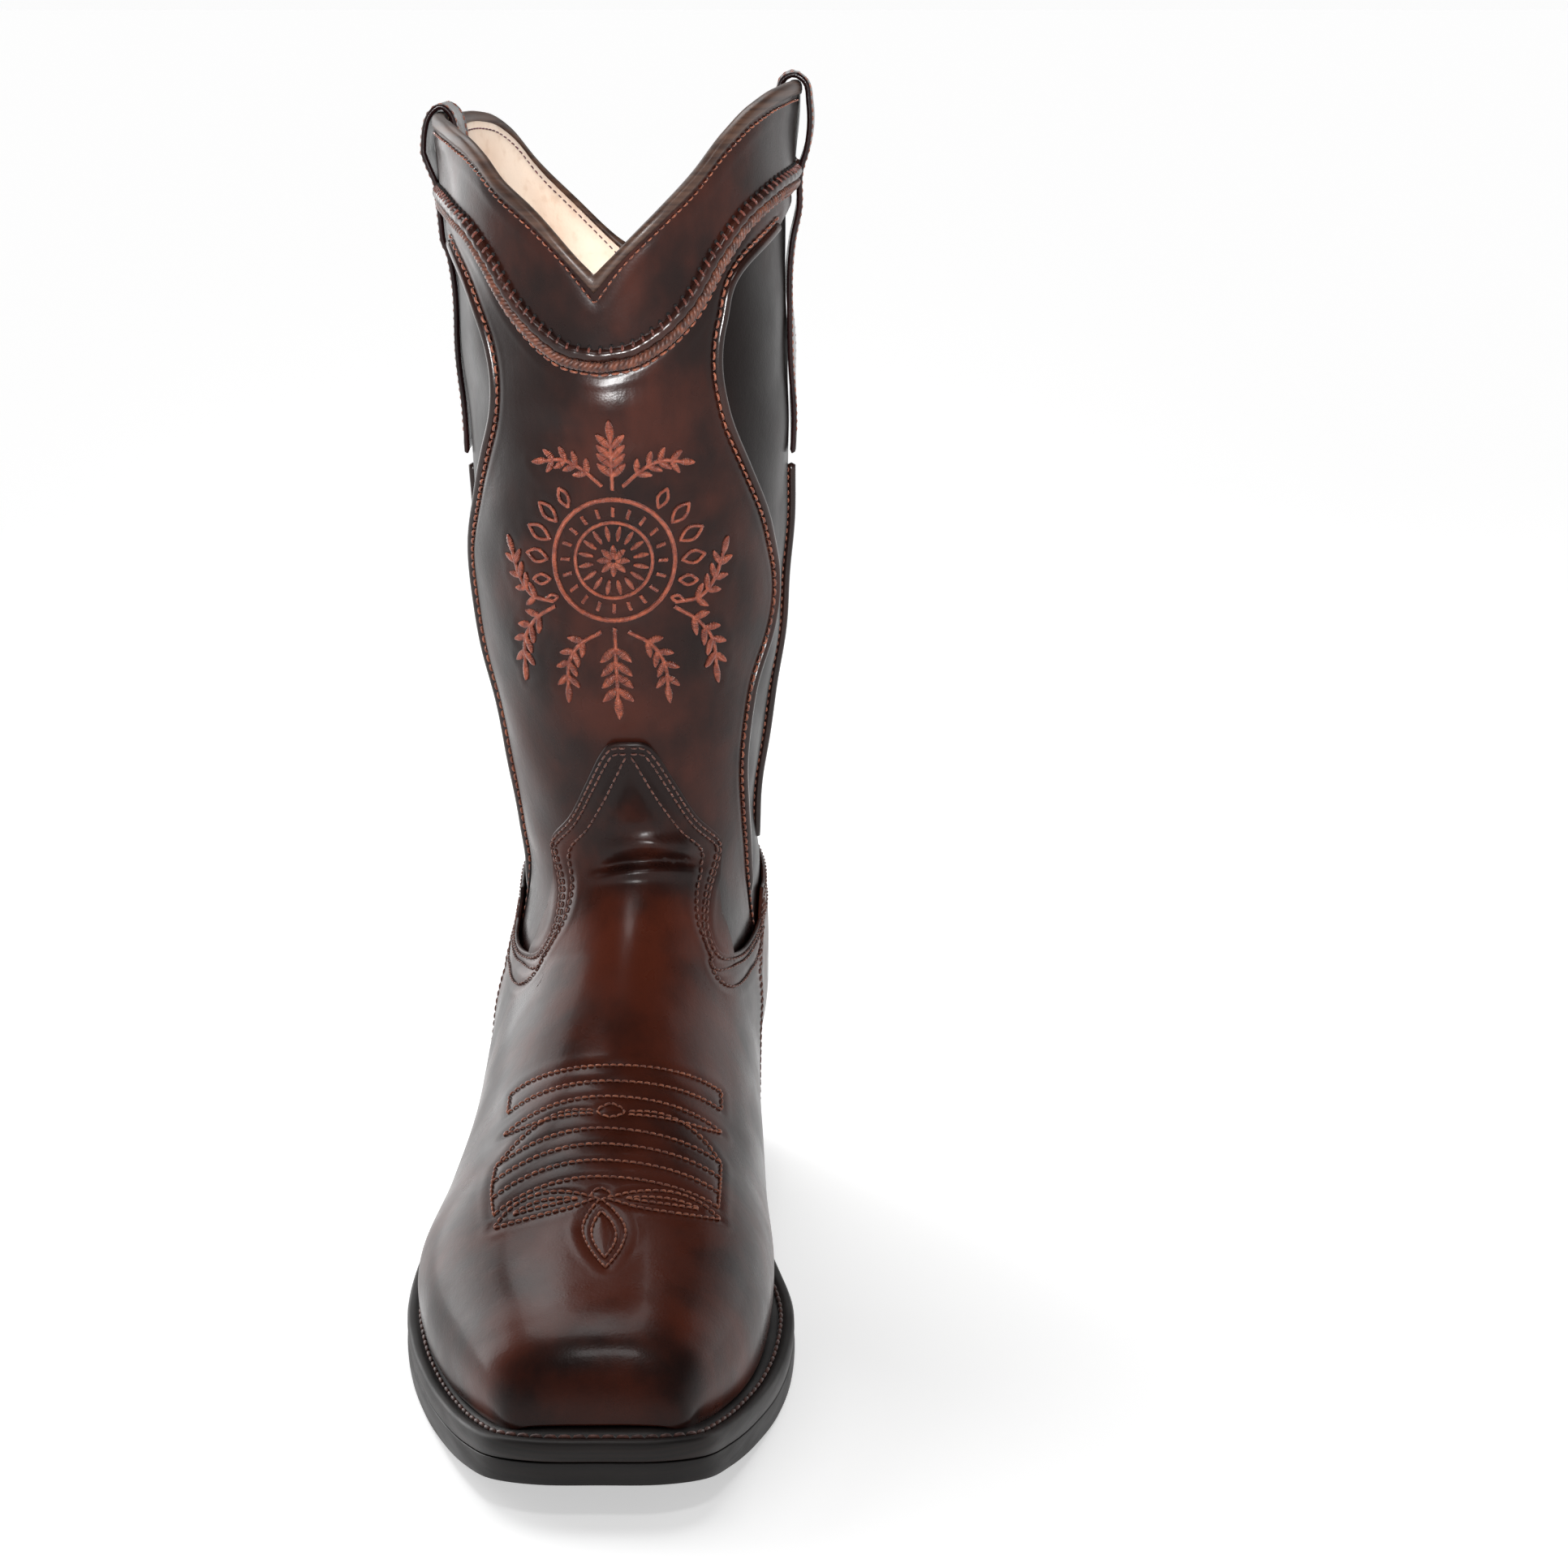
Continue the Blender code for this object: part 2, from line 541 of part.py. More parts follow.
def panel_cord(name, table, side, back, low):
    z = np.array([303.5, 299, 293, 284, 274, 264, 252, 240, 228, 216, 204, 192, 180, 167, 154, 141, 129, 118, low])
    z = side_level(z, side)
    u = edge_u(table, z)
    u = side * (u - .009)
    surface_u = around(u, back)
    cord(name, t_at(surface_u, z), surface_u, 1.7, 1.1)


def side_piping(name, side):
    z = np.linspace(231, 116, 12)
    u = np.full(12, side * .5)
    cord(name, t_at(u, z), u, -.4, 1.0)


def top_binding(name, back):
    """Folded edge strip that sits on the top edges of the collar and lining."""
    columns = collar_columns(back)
    z = top_z(columns, back)
    u = around(columns, back)
    sections = []
    for offset, rise in [(.6, .6), (.6, 1.3), (-.2, 1.9), (-2, 1.9), (-2.8, 1.3), (-2.8, .6)]:
        slope = 1.0 + .55 * np.exp(-(from_notch(columns, back) / .02) ** 2)
        sections.append(on_surface(t_at(u, z + rise * slope), u, np.full(len(u), offset)))
    swept(name, np.stack(sections, axis=1))


STRAP_PATH = [(-.6, 236), (-.6, 262), (-.6, 290), (.2, 298), (1.9, 307), (2.1, 318), (3.6, 324), (4.1, 330),
              (3.5, 337), (1.9, 343.2), (-1.3, 344.9), (-4.2, 343.4), (-5.6, 338), (-6.0, 326), (-6.6, 319),
              (-7.0, 313)]


def pull_strap(name, side):
    """Leather loop sewn outside the shaft, carried over the ear and sewn inside."""
    path = np.array(STRAP_PATH, float)
    if side < 0:
        path[:, 1] -= EAR_DROP * smooth_step(290, 312, path[:, 1])
    along = np.gradient(path, axis=0)
    along /= np.linalg.norm(along, axis=1)[:, None]
    across = np.column_stack([along[:, 1], -along[:, 0]])
    half_width, half_thickness = .058, .8
    columns = side * np.linspace(.5 - half_width, .5 + half_width, 5)
    faces = []
    for sign in (1, -1):
        line = path + sign * half_thickness * across
        u = np.broadcast_to(columns, (len(path), 5))
        z = np.repeat(line[:, 1:], 5, axis=1)
        faces.append(on_surface(t_at(u, z), u, np.repeat(line[:, :1], 5, axis=1)))
    sheet_body(name, faces[0], faces[1])


# ---- foot -------------------------------------------------------------------------------------------------
def low_u(t, side):
    """u at which a cross-section comes down to the clearance above the welt."""
    share = np.linspace(.3, 1, 200)
    points = lookup(POINTS, t, side * share)
    clear = points[:, 2] - feather_z(points[:, 1])
    under = np.nonzero(clear < WELT_CLEARANCE)[0]
    if not len(under):
        return 1.0
    k = under[0]
    part = (clear[k - 1] - WELT_CLEARANCE) / (clear[k - 1] - clear[k])
    return share[k - 1] + part * (share[k] - share[k - 1])


FOREPART_T = np.array([6.45, 6.8, 7.15, 7.5, 7.85, 8.2, 8.55, 8.85, 9.1, 9.32, 9.52, 9.7, 9.85])
ACROSS = np.array([0, .09, .18, .27, .36, .45, .54, .62, .7, .77, .84, .9, .94, .97, 1])
ACROSS = np.r_[-ACROSS[:0:-1], ACROSS]
INNER_ACROSS = ACROSS[::2]


def forepart_rows(across):
    """(t, u) rows from behind the ball to the front of the toe, ending just above the welt."""
    lateral = np.array([low_u(t, -1) for t in FOREPART_T])[:, None]
    medial = np.array([low_u(t, 1) for t in FOREPART_T])[:, None]
    u = np.where(across < 0, lateral * across, medial * across)
    return np.broadcast_to(FOREPART_T[:, None], u.shape), u


def seam_curve(side, start=None, shift=0.0, count=9):
    """Side seam between vamp and counter, from its top down to just above the welt, as (t, u)."""
    line = along_curve(SIDE_SEAM, 30)
    line[:, 0] += shift
    points = np.array([side_point(y, z, side) for y, z in line])
    last_t = FOREPART_T[0] + shift * .012 * -1
    end = np.array([last_t, side * low_u(last_t, side)])
    points = np.vstack([points[:-1], end])
    if start is not None:
        keep = points[:, 0] > start + .05
        u = np.interp(start, points[:, 0], points[:, 1])
        points = np.vstack([[start, u], points[keep]])
    scaled = points * (1, 4)
    return along_curve(scaled, count) / (1, 4)


def foot_front(name, top, left, right, offsets, across):
    """Leather over the instep and toe: a shaped upper part joined to the forepart rows."""
    t, u = forepart_rows(across)
    first = np.stack([t[0], u[0]], axis=-1)
    grid = coons(top, first, left, right)
    all_t = np.vstack([grid[:-1, :, 0], t])
    all_u = np.vstack([grid[:-1, :, 1], u])
    patch(name, all_t, all_u, offsets)


def tongue_curve(left, right):
    """Top edge of the vamp from seam to seam, over the tongue."""
    u, z = (np.array(v, float) for v in zip(*TONGUE))
    u, z = np.r_[-u[:0:-1], u], np.r_[z[:0:-1], z]
    curve = np.column_stack([t_at(u, z), u])
    curve[0], curve[-1] = left, right
    return curve


def vamp():
    left, right = seam_curve(-1, shift=-.55), seam_curve(1, shift=-.55)
    foot_front("vamp", tongue_curve(left[0], right[0]), left, right, COVER, ACROSS)


def vamp_lining():
    left, right = seam_curve(-1, start=4.45, shift=-.55), seam_curve(1, start=4.45, shift=-.55)
    share = (INNER_ACROSS[:, None] + 1) / 2
    top = left[0] * (1 - share) + right[0] * share
    foot_front("vamp_lining", top, left, right, FOOT_LINING, INNER_ACROSS)


def toe_puff():
    """Stiff cap between vamp and lining at the toe."""
    t, u = forepart_rows(INNER_ACROSS)
    keep = slice(6, None)
    patch("toe_puff", t[keep, 1:-1], u[keep, 1:-1], STIFFENER)


HEEL_AXIS = (4.5, 100.0)
HEEL_COLUMNS = 25
HEEL_ROWS = 9


def surface_tree():
    rows, columns = POINTS.shape[:2]
    quads = []
    for i in range(rows - 1):
        for j in range(columns - 1):
            a = i * columns + j
            quads.append((a, a + 1, a + columns + 1, a + columns))
    return BVHTree.FromPolygons(POINTS.reshape(-1, 3).tolist(), quads)


SURFACE_TREE = surface_tree()


def heel_hit(turn, z):
    """Surface point and normal straight out from the heel's upright axis; turn 0 looks back, + is medial."""
    direction = Vector((math.sin(turn), math.cos(turn), 0))
    place, _, face, _ = SURFACE_TREE.ray_cast(Vector((*HEEL_AXIS, z)), direction)
    if place is None:
        return None
    i, j = divmod(face, POINTS.shape[1] - 1)
    corners = [(i, j), (i, j + 1), (i + 1, j), (i + 1, j + 1)]
    near = np.array([1 / (.05 + np.linalg.norm(POINTS[c] - place)) for c in corners])
    normal = (np.array([NORMALS[c] for c in corners]) * near[:, None]).sum(0)
    return np.array(place), normal / np.linalg.norm(normal)


def heel_turns(points):
    """(turn, z) of points on the surface, as seen from the heel's axis."""
    return np.column_stack([np.arctan2(points[:, 0] - HEEL_AXIS[0], points[:, 1] - HEEL_AXIS[1]), points[:, 2]])


def heel_bottom_z(turn):
    """Height at which the heel, seen along a turn, comes down to the clearance above the welt."""
    low, high = 15.0, 75.0
    for _ in range(14):
        middle = (low + high) / 2
        hit = heel_hit(turn, middle)
        if hit is None or hit[0][2] - feather_z(hit[0][1]) < WELT_CLEARANCE:
            low = middle
        else:
            high = middle
    return high


def counter_edges():
    """Edges of the counter as (turn, z): top, bottom, medial seam, lateral seam."""
    seams = []
    for side in (1, -1):
        seam = seam_curve(side, shift=1.0, count=HEEL_ROWS)
        seams.append(heel_turns(lookup(POINTS, seam[:, 0], seam[:, 1])))
    medial, lateral = seams
    u = np.linspace(seam_curve(1, shift=1.0)[0, 1], 2 + seam_curve(-1, shift=1.0)[0, 1], HEEL_COLUMNS)
    z = curve_at(COUNTER_TOP, np.abs(1 - u))
    signed = wrapped(u)
    top = heel_turns(lookup(POINTS, t_at(signed, z), signed))
    top[0], top[-1] = medial[0], lateral[0]
    turns = np.linspace(medial[-1, 0], lateral[-1, 0], 120)
    fine = np.array([(turn, heel_bottom_z(turn) + .6) for turn in turns])
    places = np.array([heel_hit(turn, z)[0] for turn, z in fine])
    length = np.r_[0, np.cumsum(np.linalg.norm(np.diff(places, axis=0), axis=1))]
    even = np.linspace(0, length[-1], HEEL_COLUMNS)
    bottom = np.column_stack([np.interp(even, length, fine[:, k]) for k in (0, 1)])
    bottom[-3:, 1] += .5
    medial[-1, 1] += .8
    lateral[-1, 1] += 1.3
    bottom[0, 1], bottom[-1, 1] = medial[-1, 1], lateral[-1, 1]
    return top, bottom, medial, lateral


def counter_surface():
    """Points and normals over the counter, rows from its top edge down to the welt."""
    top, bottom, medial, lateral = counter_edges()
    grid = coons(top, bottom, medial, lateral)
    hits = [[heel_hit(turn, z) for turn, z in row] for row in grid]
    return np.array([[h[0] for h in row] for row in hits]), np.array([[h[1] for h in row] for row in hits])


def heel_layer(name, points, normals, offsets):
    inner, outer = offsets
    sheet_body(name, points + normals * outer, points + normals * inner)


def heel_layers():
    points, normals = counter_surface()
    heel_layer("counter_cover", points, normals, COVER)
    heel_layer("counter_lining", points[3:], normals[3:], FOOT_LINING)
    heel_layer("heel_stiffener", points[4:, 4:-4], normals[4:, 4:-4], STIFFENER)


# ---- sole and heel ----------------------------------------------------------------------------------------
SOLE_Y = np.array([-147.4, -146.9, -145.6, -143, -139, -133, -124, -113, -101, -88, -74, -59, -44, -29, -13, 3, 19,
                   35, 50, 64, 77.6])
HEEL_Y = np.array([78.4, 88, 98, 108, 117, 125, 131.5, 136.5, 140, 142, 143.2])


def ladder(name, outline, levels, low, high, low_inset=0.0):
    """Plate whose outline is taken at matching lateral and medial points; low and high are heights by y."""
    lateral = outline_x(outline, levels, -1)
    medial = outline_x(outline, levels, 1)
    top, bottom = [], []
    for y, left, right in zip(levels, lateral, medial):
        top.append([(left, y, high(y)), (right, y, high(y))])
        bottom.append([(left + low_inset, y, low(y)), (right - low_inset, y, low(y))])
    return sheet_body(name, np.array(top), np.array(bottom))


def ring_run(outline, levels, toe):
    """Points of the outline from the lateral end round the toe, or round the back, to the medial end."""
    order = levels if not toe else levels[::-1]
    lateral = [(outline_x(outline, y, -1), y) for y in order]
    medial = [(outline_x(outline, y, 1), y) for y in order[::-1]]
    return np.array(lateral + medial)


def edge_strip(name, levels, toe, width, low, high):
    """Strip of the welt or rand: flush with the sole edge, open in the middle."""
    outer = ring_run(OUTSOLE, levels, toe)
    along = np.gradient(outer, axis=0)
    along /= np.linalg.norm(along, axis=1)[:, None]
    inward = np.column_stack([-along[:, 1], along[:, 0]])
    centre = np.array([3.0, outer[:, 1].mean()])
    if ((centre - outer) * inward).sum() < 0:
        inward = -inward
    smooth = inward.copy()
    smooth[1:-1] = inward[:-2] + 2 * inward[1:-1] + inward[2:]
    smooth /= np.linalg.norm(smooth, axis=1)[:, None]
    smooth[0], smooth[-1] = (1, 0), (-1, 0)
    inner = outer + smooth * width
    inner[0, 1], inner[-1, 1] = outer[0, 1], outer[-1, 1]
    sections = []
    for a, b in zip(outer, inner):
        sections.append([(*a, low(a[1])), (*a, high(a[1])), (*b, high(b[1])), (*b, low(b[1]))])
    swept(name, sections)


def sole_layers():
    outsole_levels = np.r_[SOLE_Y, HEEL_Y]
    ladder("outsole", OUTSOLE, outsole_levels, underside_z, outsole_top_z)
    edge_strip("welt", SOLE_Y, True, 12.0, lambda y: outsole_top_z(y) + .5, feather_z)
    edge_strip("heel_rand", HEEL_Y[:-1], False, 9.0, lambda y: outsole_top_z(y) + .5, feather_z)


def inner_layers():
    """Filler, shank, insole board and sock liner, from the bottom up."""
    cork_outline = inset(OUTSOLE, 14.0)
    cork_y = np.linspace(-130, -5, 12)
    ladder("cork_filler", cork_outline, cork_y, lambda y: outsole_top_z(y) + .6, lambda y: feather_z(y) - .3)
    board_outline = inset(FEATHER, 4.2)
    board_y = np.r_[np.linspace(-132, -122, 4), np.linspace(-110, 110, 16), np.linspace(118, 132, 4)]
    ladder("insole_board", board_outline, board_y, lambda y: feather_z(y) + .6, lambda y: feather_z(y) + 3.2)
    ladder("sock_liner", board_outline, board_y, lambda y: feather_z(y) + 3.7, lambda y: feather_z(y) + 4.7)


def shank():
    """Steel strip that carries the arch, between the outsole and the insole board."""
    levels = np.linspace(2, 112, 12)
    centre = 3.0
    half = 7.5
    top, bottom = [], []
    for y in levels:
        base = outsole_top_z(y) + 1.2
        top.append([(centre - half, y, base + 1.6), (centre + half, y, base + 1.6)])
        bottom.append([(centre - half, y, base), (centre + half, y, base)])
    sheet_body("steel_shank", np.array(top), np.array(bottom))


CAP_TOP = 6.0
LIFT_COUNT = 4
HEEL_TAPER = 3.6


def heel_level(share, y):
    """Height of a joint in the heel stack: flat above the cap, parallel to the sole at the top."""
    top = underside_z(y) - .4
    return CAP_TOP + (top - CAP_TOP) * share


def heel_section(z, y_levels):
    """Lateral and medial edges of the heel at a height: it narrows toward the ground on every side."""
    drop = np.clip(1 - z / 36.0, 0, 1)
    narrow = HEEL_TAPER * drop
    front, back = HEEL_BREAST_Y + .4 + 2.0 * drop, 143.2 - 5.0 * drop
    share = (y_levels - HEEL_Y[0]) / (HEEL_Y[-1] - HEEL_Y[0])
    y = front + (back - front) * share
    lateral = outline_x(OUTSOLE, y_levels, -1) + narrow * (1 - .2 * share)
    medial = outline_x(OUTSOLE, y_levels, 1) - narrow * (1 - .2 * share)
    swap = lateral > medial - 4
    middle = (lateral + medial) / 2
    return np.where(swap, middle - 2, lateral), np.where(swap, middle + 2, medial), y


def heel_slab(name, low_share, high_share, flat_low=None, flat_high=None):
    top, bottom = [], []
    for grid, share, flat in ((top, high_share, flat_high), (bottom, low_share, flat_low)):
        nominal = flat if flat is not None else heel_level(share, 110.0)
        lateral, medial, ys = heel_section(nominal, HEEL_Y)
        for left, right, y in zip(lateral, medial, ys):
            z = flat if flat is not None else heel_level(share, y)
            grid.append([(left, y, z), (right, y, z)])
    return sheet_body(name, np.array(top), np.array(bottom))


NAILS = [(-17.7, 96.3), (-14.6, 119.1), (4.3, 129.7), (24.2, 119.1), (27.1, 96.3), (5.3, 91.9)]
NAIL_RADIUS = 1.3
NAIL_CLEARANCE = .5
NAIL_TOP = 10.5


def disc_column(x, y, low, high, radius, corners=12):
    turns = np.arange(corners) * 2 * math.pi / corners
    ring = [(x + radius * math.cos(a), y + radius * math.sin(a)) for a in turns]
    return [[(px, py, low) for px, py in ring], [(px, py, high) for px, py in ring]]


def heel_stack():
    cap = heel_slab("heel_cap", 0, 0, flat_low=0.0, flat_high=CAP_TOP - .4)
    gap = .4 / 28
    lifts = []
    for k in range(LIFT_COUNT):
        high = (k + 1) / LIFT_COUNT - (gap if k < LIFT_COUNT - 1 else 0)
        lifts.append(heel_slab(f"heel_lift_{k + 1}", k / LIFT_COUNT, high))
    for k, (x, y) in enumerate(NAILS):
        swept(f"heel_nail_{k + 1}", disc_column(x, y, .3, NAIL_TOP, NAIL_RADIUS))
    holes = []
    for k, (x, y) in enumerate(NAILS):
        hole = swept(f"nail_hole_{k + 1}", disc_column(x, y, -1, NAIL_TOP + .5, NAIL_RADIUS + NAIL_CLEARANCE))
        hole.hide_render = True
        holes.append(hole)
    for slab in (cap, lifts[0]):
        for hole in holes:
            cut = slab.modifiers.new(hole.name, "BOOLEAN")
            cut.operation = "DIFFERENCE"
            cut.solver = "EXACT"
            cut.object = hole


def shaft():
    shaft_panel("front_panel", EDGE_LATERAL, EDGE_MEDIAL, front_low, False)
    shaft_panel("back_panel", EDGE_BACK, EDGE_BACK, back_low, True)
    for name, side in (("lateral", -1), ("medial", 1)):
        side_panel(f"side_panel_{name}", side)
        side_piping(f"side_seam_piping_{name}", side)
        pull_strap(f"pull_strap_{name}", side)
        front_edge = EDGE_MEDIAL if side > 0 else EDGE_LATERAL
        panel_cord(f"panel_cord_front_{name}", front_edge, side, False, 104.0)
        panel_cord(f"panel_cord_back_{name}", EDGE_BACK, side, True, 113.0)
    for name, back in (("front", False), ("back", True)):
        collar(f"collar_{name}", back)
        shaft_lining(f"shaft_lining_{name}", back)
        collar_cord(f"collar_cord_{name}", back)
        collar_braid(f"collar_braid_{name}", back)
        top_binding(f"top_binding_{name}", back)


def foot():
    vamp()
    vamp_lining()
    toe_puff()
    heel_layers()


def sole():
    sole_layers()
    inner_layers()
    shank()
    heel_stack()


def clear_scene():
    for item in list(bpy.data.objects):
        bpy.data.objects.remove(item, do_unlink=True)


clear_scene()
shaft()
foot()
sole()
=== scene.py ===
"""Looks of the western boot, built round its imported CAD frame.

Axes: toe toward -Y, medial side +X, sole on Z = 0. Lengths are in millimetres until a mesh is made.

The upper follows one reference surface. A point on it is (t, u): t runs down the shaft and out to the toe,
u runs round from the front centre line (0) to the back centre line or the sole line (-1 lateral, +1 medial).
"""

import math

import bpy
import numpy as np
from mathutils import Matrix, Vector
from mathutils.bvhtree import BVHTree
from mathutils.kdtree import KDTree


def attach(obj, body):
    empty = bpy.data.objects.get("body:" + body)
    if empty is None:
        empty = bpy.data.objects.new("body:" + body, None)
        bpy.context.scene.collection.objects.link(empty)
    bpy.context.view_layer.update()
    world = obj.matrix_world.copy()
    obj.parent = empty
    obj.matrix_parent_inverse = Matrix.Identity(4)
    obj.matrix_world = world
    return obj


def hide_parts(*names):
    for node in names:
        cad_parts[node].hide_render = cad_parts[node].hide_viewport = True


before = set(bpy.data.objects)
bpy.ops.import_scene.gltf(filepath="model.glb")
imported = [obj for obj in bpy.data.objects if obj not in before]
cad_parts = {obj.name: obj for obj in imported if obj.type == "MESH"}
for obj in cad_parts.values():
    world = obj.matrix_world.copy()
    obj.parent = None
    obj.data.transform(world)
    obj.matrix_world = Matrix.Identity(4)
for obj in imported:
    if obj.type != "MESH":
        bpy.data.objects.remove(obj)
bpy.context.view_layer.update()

MM = 0.001
SHIFT = (0.07, -0.576)
RNG = np.random.default_rng(7)

# ---- sole shape -------------------------------------------------------------------------------------------
SOLE_OUTLINE = [
    (3, -147.5), (-13, -146.8), (-24.5, -141), (-32, -129), (-40, -110), (-47, -90), (-53, -68), (-57, -42),
    (-56, -12), (-48, 18), (-37.5, 46), (-30.5, 74), (-29.5, 104), (-24, 127), (-11, 140), (5, 143.5),
    (21, 140), (34, 127), (39.5, 104), (37.5, 74), (33, 46), (37.5, 14), (45.5, -14), (51, -42),
    (50.5, -68), (47, -90), (41.5, -110), (35, -129), (29, -141), (18.5, -146.8),
]
UNDERSIDE_Y = [-148, -130, -110, -90, -76, -44, -28, -12, 5, 25, 45, 62, 78, 100, 145]
UNDERSIDE_Z = [9.5, 5.4, 2.0, 0.3, 0.0, 0.0, 0.9, 3.2, 8.0, 15.6, 23.6, 30.0, 34.0, 36.0, 37.5]
STACK_Y = [-150, -20, 40, 75, 150]
STACK_Z = [11.6, 11.4, 9.4, 8.6, 8.6]
OUTSOLE_THICKNESS = [6.2, 6.0, 4.4, 4.0, 4.0]
FEATHER_Y = [-150, -60, 0, 45, 80, 150]
FEATHER_MARGIN = [10.2, 10.2, 9.0, 6.2, 5.6, 6.3]
HEEL_BREAST_Y = 78.0

# ---- upper shape: stations along t ------------------------------------------------------------------------
T = [0, 1, 1.8, 2.5, 3.1, 3.6, 4.0, 4.4, 4.8, 5.2, 5.7, 6.2, 6.8, 7.4, 8.0, 8.5, 8.9, 9.2, 9.5, 9.8, 10]
FRONT_Y = [-3, -1, 2.5, 8.5, 15, 18.2, 15.4, 9.2, 1.2, -7, -17.2, -31.2, -49.2, -69.2, -89.2, -107.2,
           -119.8, -128, -133.7, -136.8, -137.6]
FRONT_Z = [352, 290, 240, 192, 150, 127.5, 117.4, 108.6, 99.9, 92.2, 84.2, 75.2, 66.2, 57.8, 49.8, 44.3,
           40.9, 37.2, 31, 23.8, 19.6]
BACK_Y = [147, 146, 143, 137.5, 131, 127.5, 130.3, 136.3, 137.4]
BACK_Z = [352, 290, 240, 192, 148, 120, 98, 72, 46]
SOLE_LINE_Y = [137.4, 119, 88, 48, 2, -40, -75, -100, -114, -122.4, -128.8, -134.4, -136.6]
LATERAL_X = [-52.5, -49.3, -45.8, -44.4, -36, -31.8, -30.4, -33, -36.8, -38, -38, -39.4, -44.6, -50,
             -45.4, -37.2, -30.8, -26.4, -22.6, -18.6, -14.6]
MEDIAL_X = [53, 51.3, 52.2, 50.3, 44.4, 41.4, 40.4, 41, 41.4, 40.8, 39, 39.4, 41.4, 43.4,
            41.4, 36.4, 31.6, 28, 24.8, 21.8, 18]
WIDEST = [.5, .5, .5, .5, .5, .5, .53, .56, .6, .62, .64, .68, .72] + [.74] * 8
FRONT_POWER = [2.15, 2.15, 2.15, 2.1, 2.05, 2, 1.95, 1.9, 1.9, 1.9, 1.9, 1.9, 1.95, 2.1,
               2.25, 2.4, 2.55, 2.7, 2.85, 3, 3.1]
BACK_POWER = [2.15, 2.15, 2.1, 2.1, 2.05, 2.05, 2.1, 2.2, 2.3, 2.5, 2.7, 2.8, 2.9] + [3] * 8
HEEL_STATIONS = 9
T_HEEL = T[HEEL_STATIONS - 1]
T_ROWS = 321
U_HALF = 81

# ---- outlines of the upper pieces, as (u, z) from the front or back centre to the side ---------------------
TOP_FRONT = [(0, 290), (.046, 300.3), (.092, 309.2), (.145, 318.5), (.195, 328.4), (.25, 335.5), (.32, 339.6),
             (.4, 341), (.5, 341.2)]
TOP_BACK = [(0, 286), (.05, 295), (.1, 304.5), (.16, 315), (.22, 325.5), (.29, 333.5), (.37, 338.5),
            (.5, 341.2)]
TRIM = [(0, 270.6), (.04, 271.8), (.08, 276), (.125, 284), (.18, 298.5), (.24, 309), (.34, 315.6), (.5, 318)]
# panel edges as (z, u)
EDGE_MEDIAL = [(310, .42), (305, .35), (296, .236), (279, .178), (267, .167), (254, .178), (237, .226),
               (218, .291), (205, .327), (186, .322), (170, .285), (153, .272), (130, .312), (116, .36),
               (92, .43)]
EDGE_LATERAL = [(304, .42), (299, .36), (290, .285), (279, .242), (269, .224), (257, .22), (242, .262),
                (218, .345), (206, .375), (190, .385), (170, .375), (153, .37), (135, .385), (116, .42),
                (92, .455)]
EDGE_BACK = [(310, .42), (305, .35), (296, .24), (279, .185), (267, .172), (254, .183), (237, .23), (218, .3),
             (205, .335), (186, .335), (170, .31), (153, .3), (130, .33), (116, .37), (96, .41)]
TONGUE = [(0, 160.4), (.03, 159.9), (.05, 156.4), (.083, 147), (.128, 136), (.185, 128.2), (.196, 124.5),
          (.188, 118.5), (.162, 110), (.158, 102), (.19, 94.4), (.25, 91), (.33, 89.8), (.43, 92.4),
          (.485, 101)]
COUNTER_TOP = [(0, 139.5), (.07, 138), (.13, 133), (.2, 122), (.27, 111.5), (.34, 106.6), (.42, 104.2),
               (.51, 101)]
SIDE_SEAM = [(67.5, 101), (62.5, 91.5), (55, 77.5), (46, 61), (38, 46), (31, 33)]

# ---- layer offsets from the reference surface (inner, outer) ----------------------------------------------
PANEL = (-1.4, 0.0)
COLLAR = (-1.4, 0.4)
SIDE_PANEL = (-3.4, -2.2)
SHAFT_LINING = (-5.4, -4.6)
LINING_RISE = 2.5
COVER = (0.8, 2.3)
FOOT_LINING = (-3.0, -2.1)
WELT_CLEARANCE = 0.6
NORMALS_LEVEL_BELOW = 10.0


def profile(xs, ys, x):
    """Smooth curve through the points that never overshoots them."""
    xs, ys, x = (np.asarray(v, float) for v in (xs, ys, x))
    step = np.diff(xs)
    slope = np.diff(ys) / step
    tangent = np.zeros_like(ys)
    for k in range(1, len(xs) - 1):
        if slope[k - 1] * slope[k] > 0:
            wide = 2 * step[k] + step[k - 1]
            narrow = step[k] + 2 * step[k - 1]
            tangent[k] = (wide + narrow) / (wide / slope[k - 1] + narrow / slope[k])
    tangent[0], tangent[-1] = slope[0], slope[-1]
    return hermite(xs, ys, tangent, step, x)


def spline(xs, ys, x):
    """Rounder curve through the points, used where the form itself swings in and out."""
    xs, ys, x = (np.asarray(v, float) for v in (xs, ys, x))
    return hermite(xs, ys, np.gradient(ys, xs), np.diff(xs), x)


def hermite(xs, ys, tangent, step, x):
    i = np.clip(np.searchsorted(xs, x) - 1, 0, len(step) - 1)
    s = np.clip((x - xs[i]) / step[i], 0, 1)
    return ((1 + 2 * s) * (1 - s) ** 2 * ys[i] + s * (1 - s) ** 2 * step[i] * tangent[i]
            + s * s * (3 - 2 * s) * ys[i + 1] + s * s * (s - 1) * step[i] * tangent[i + 1])


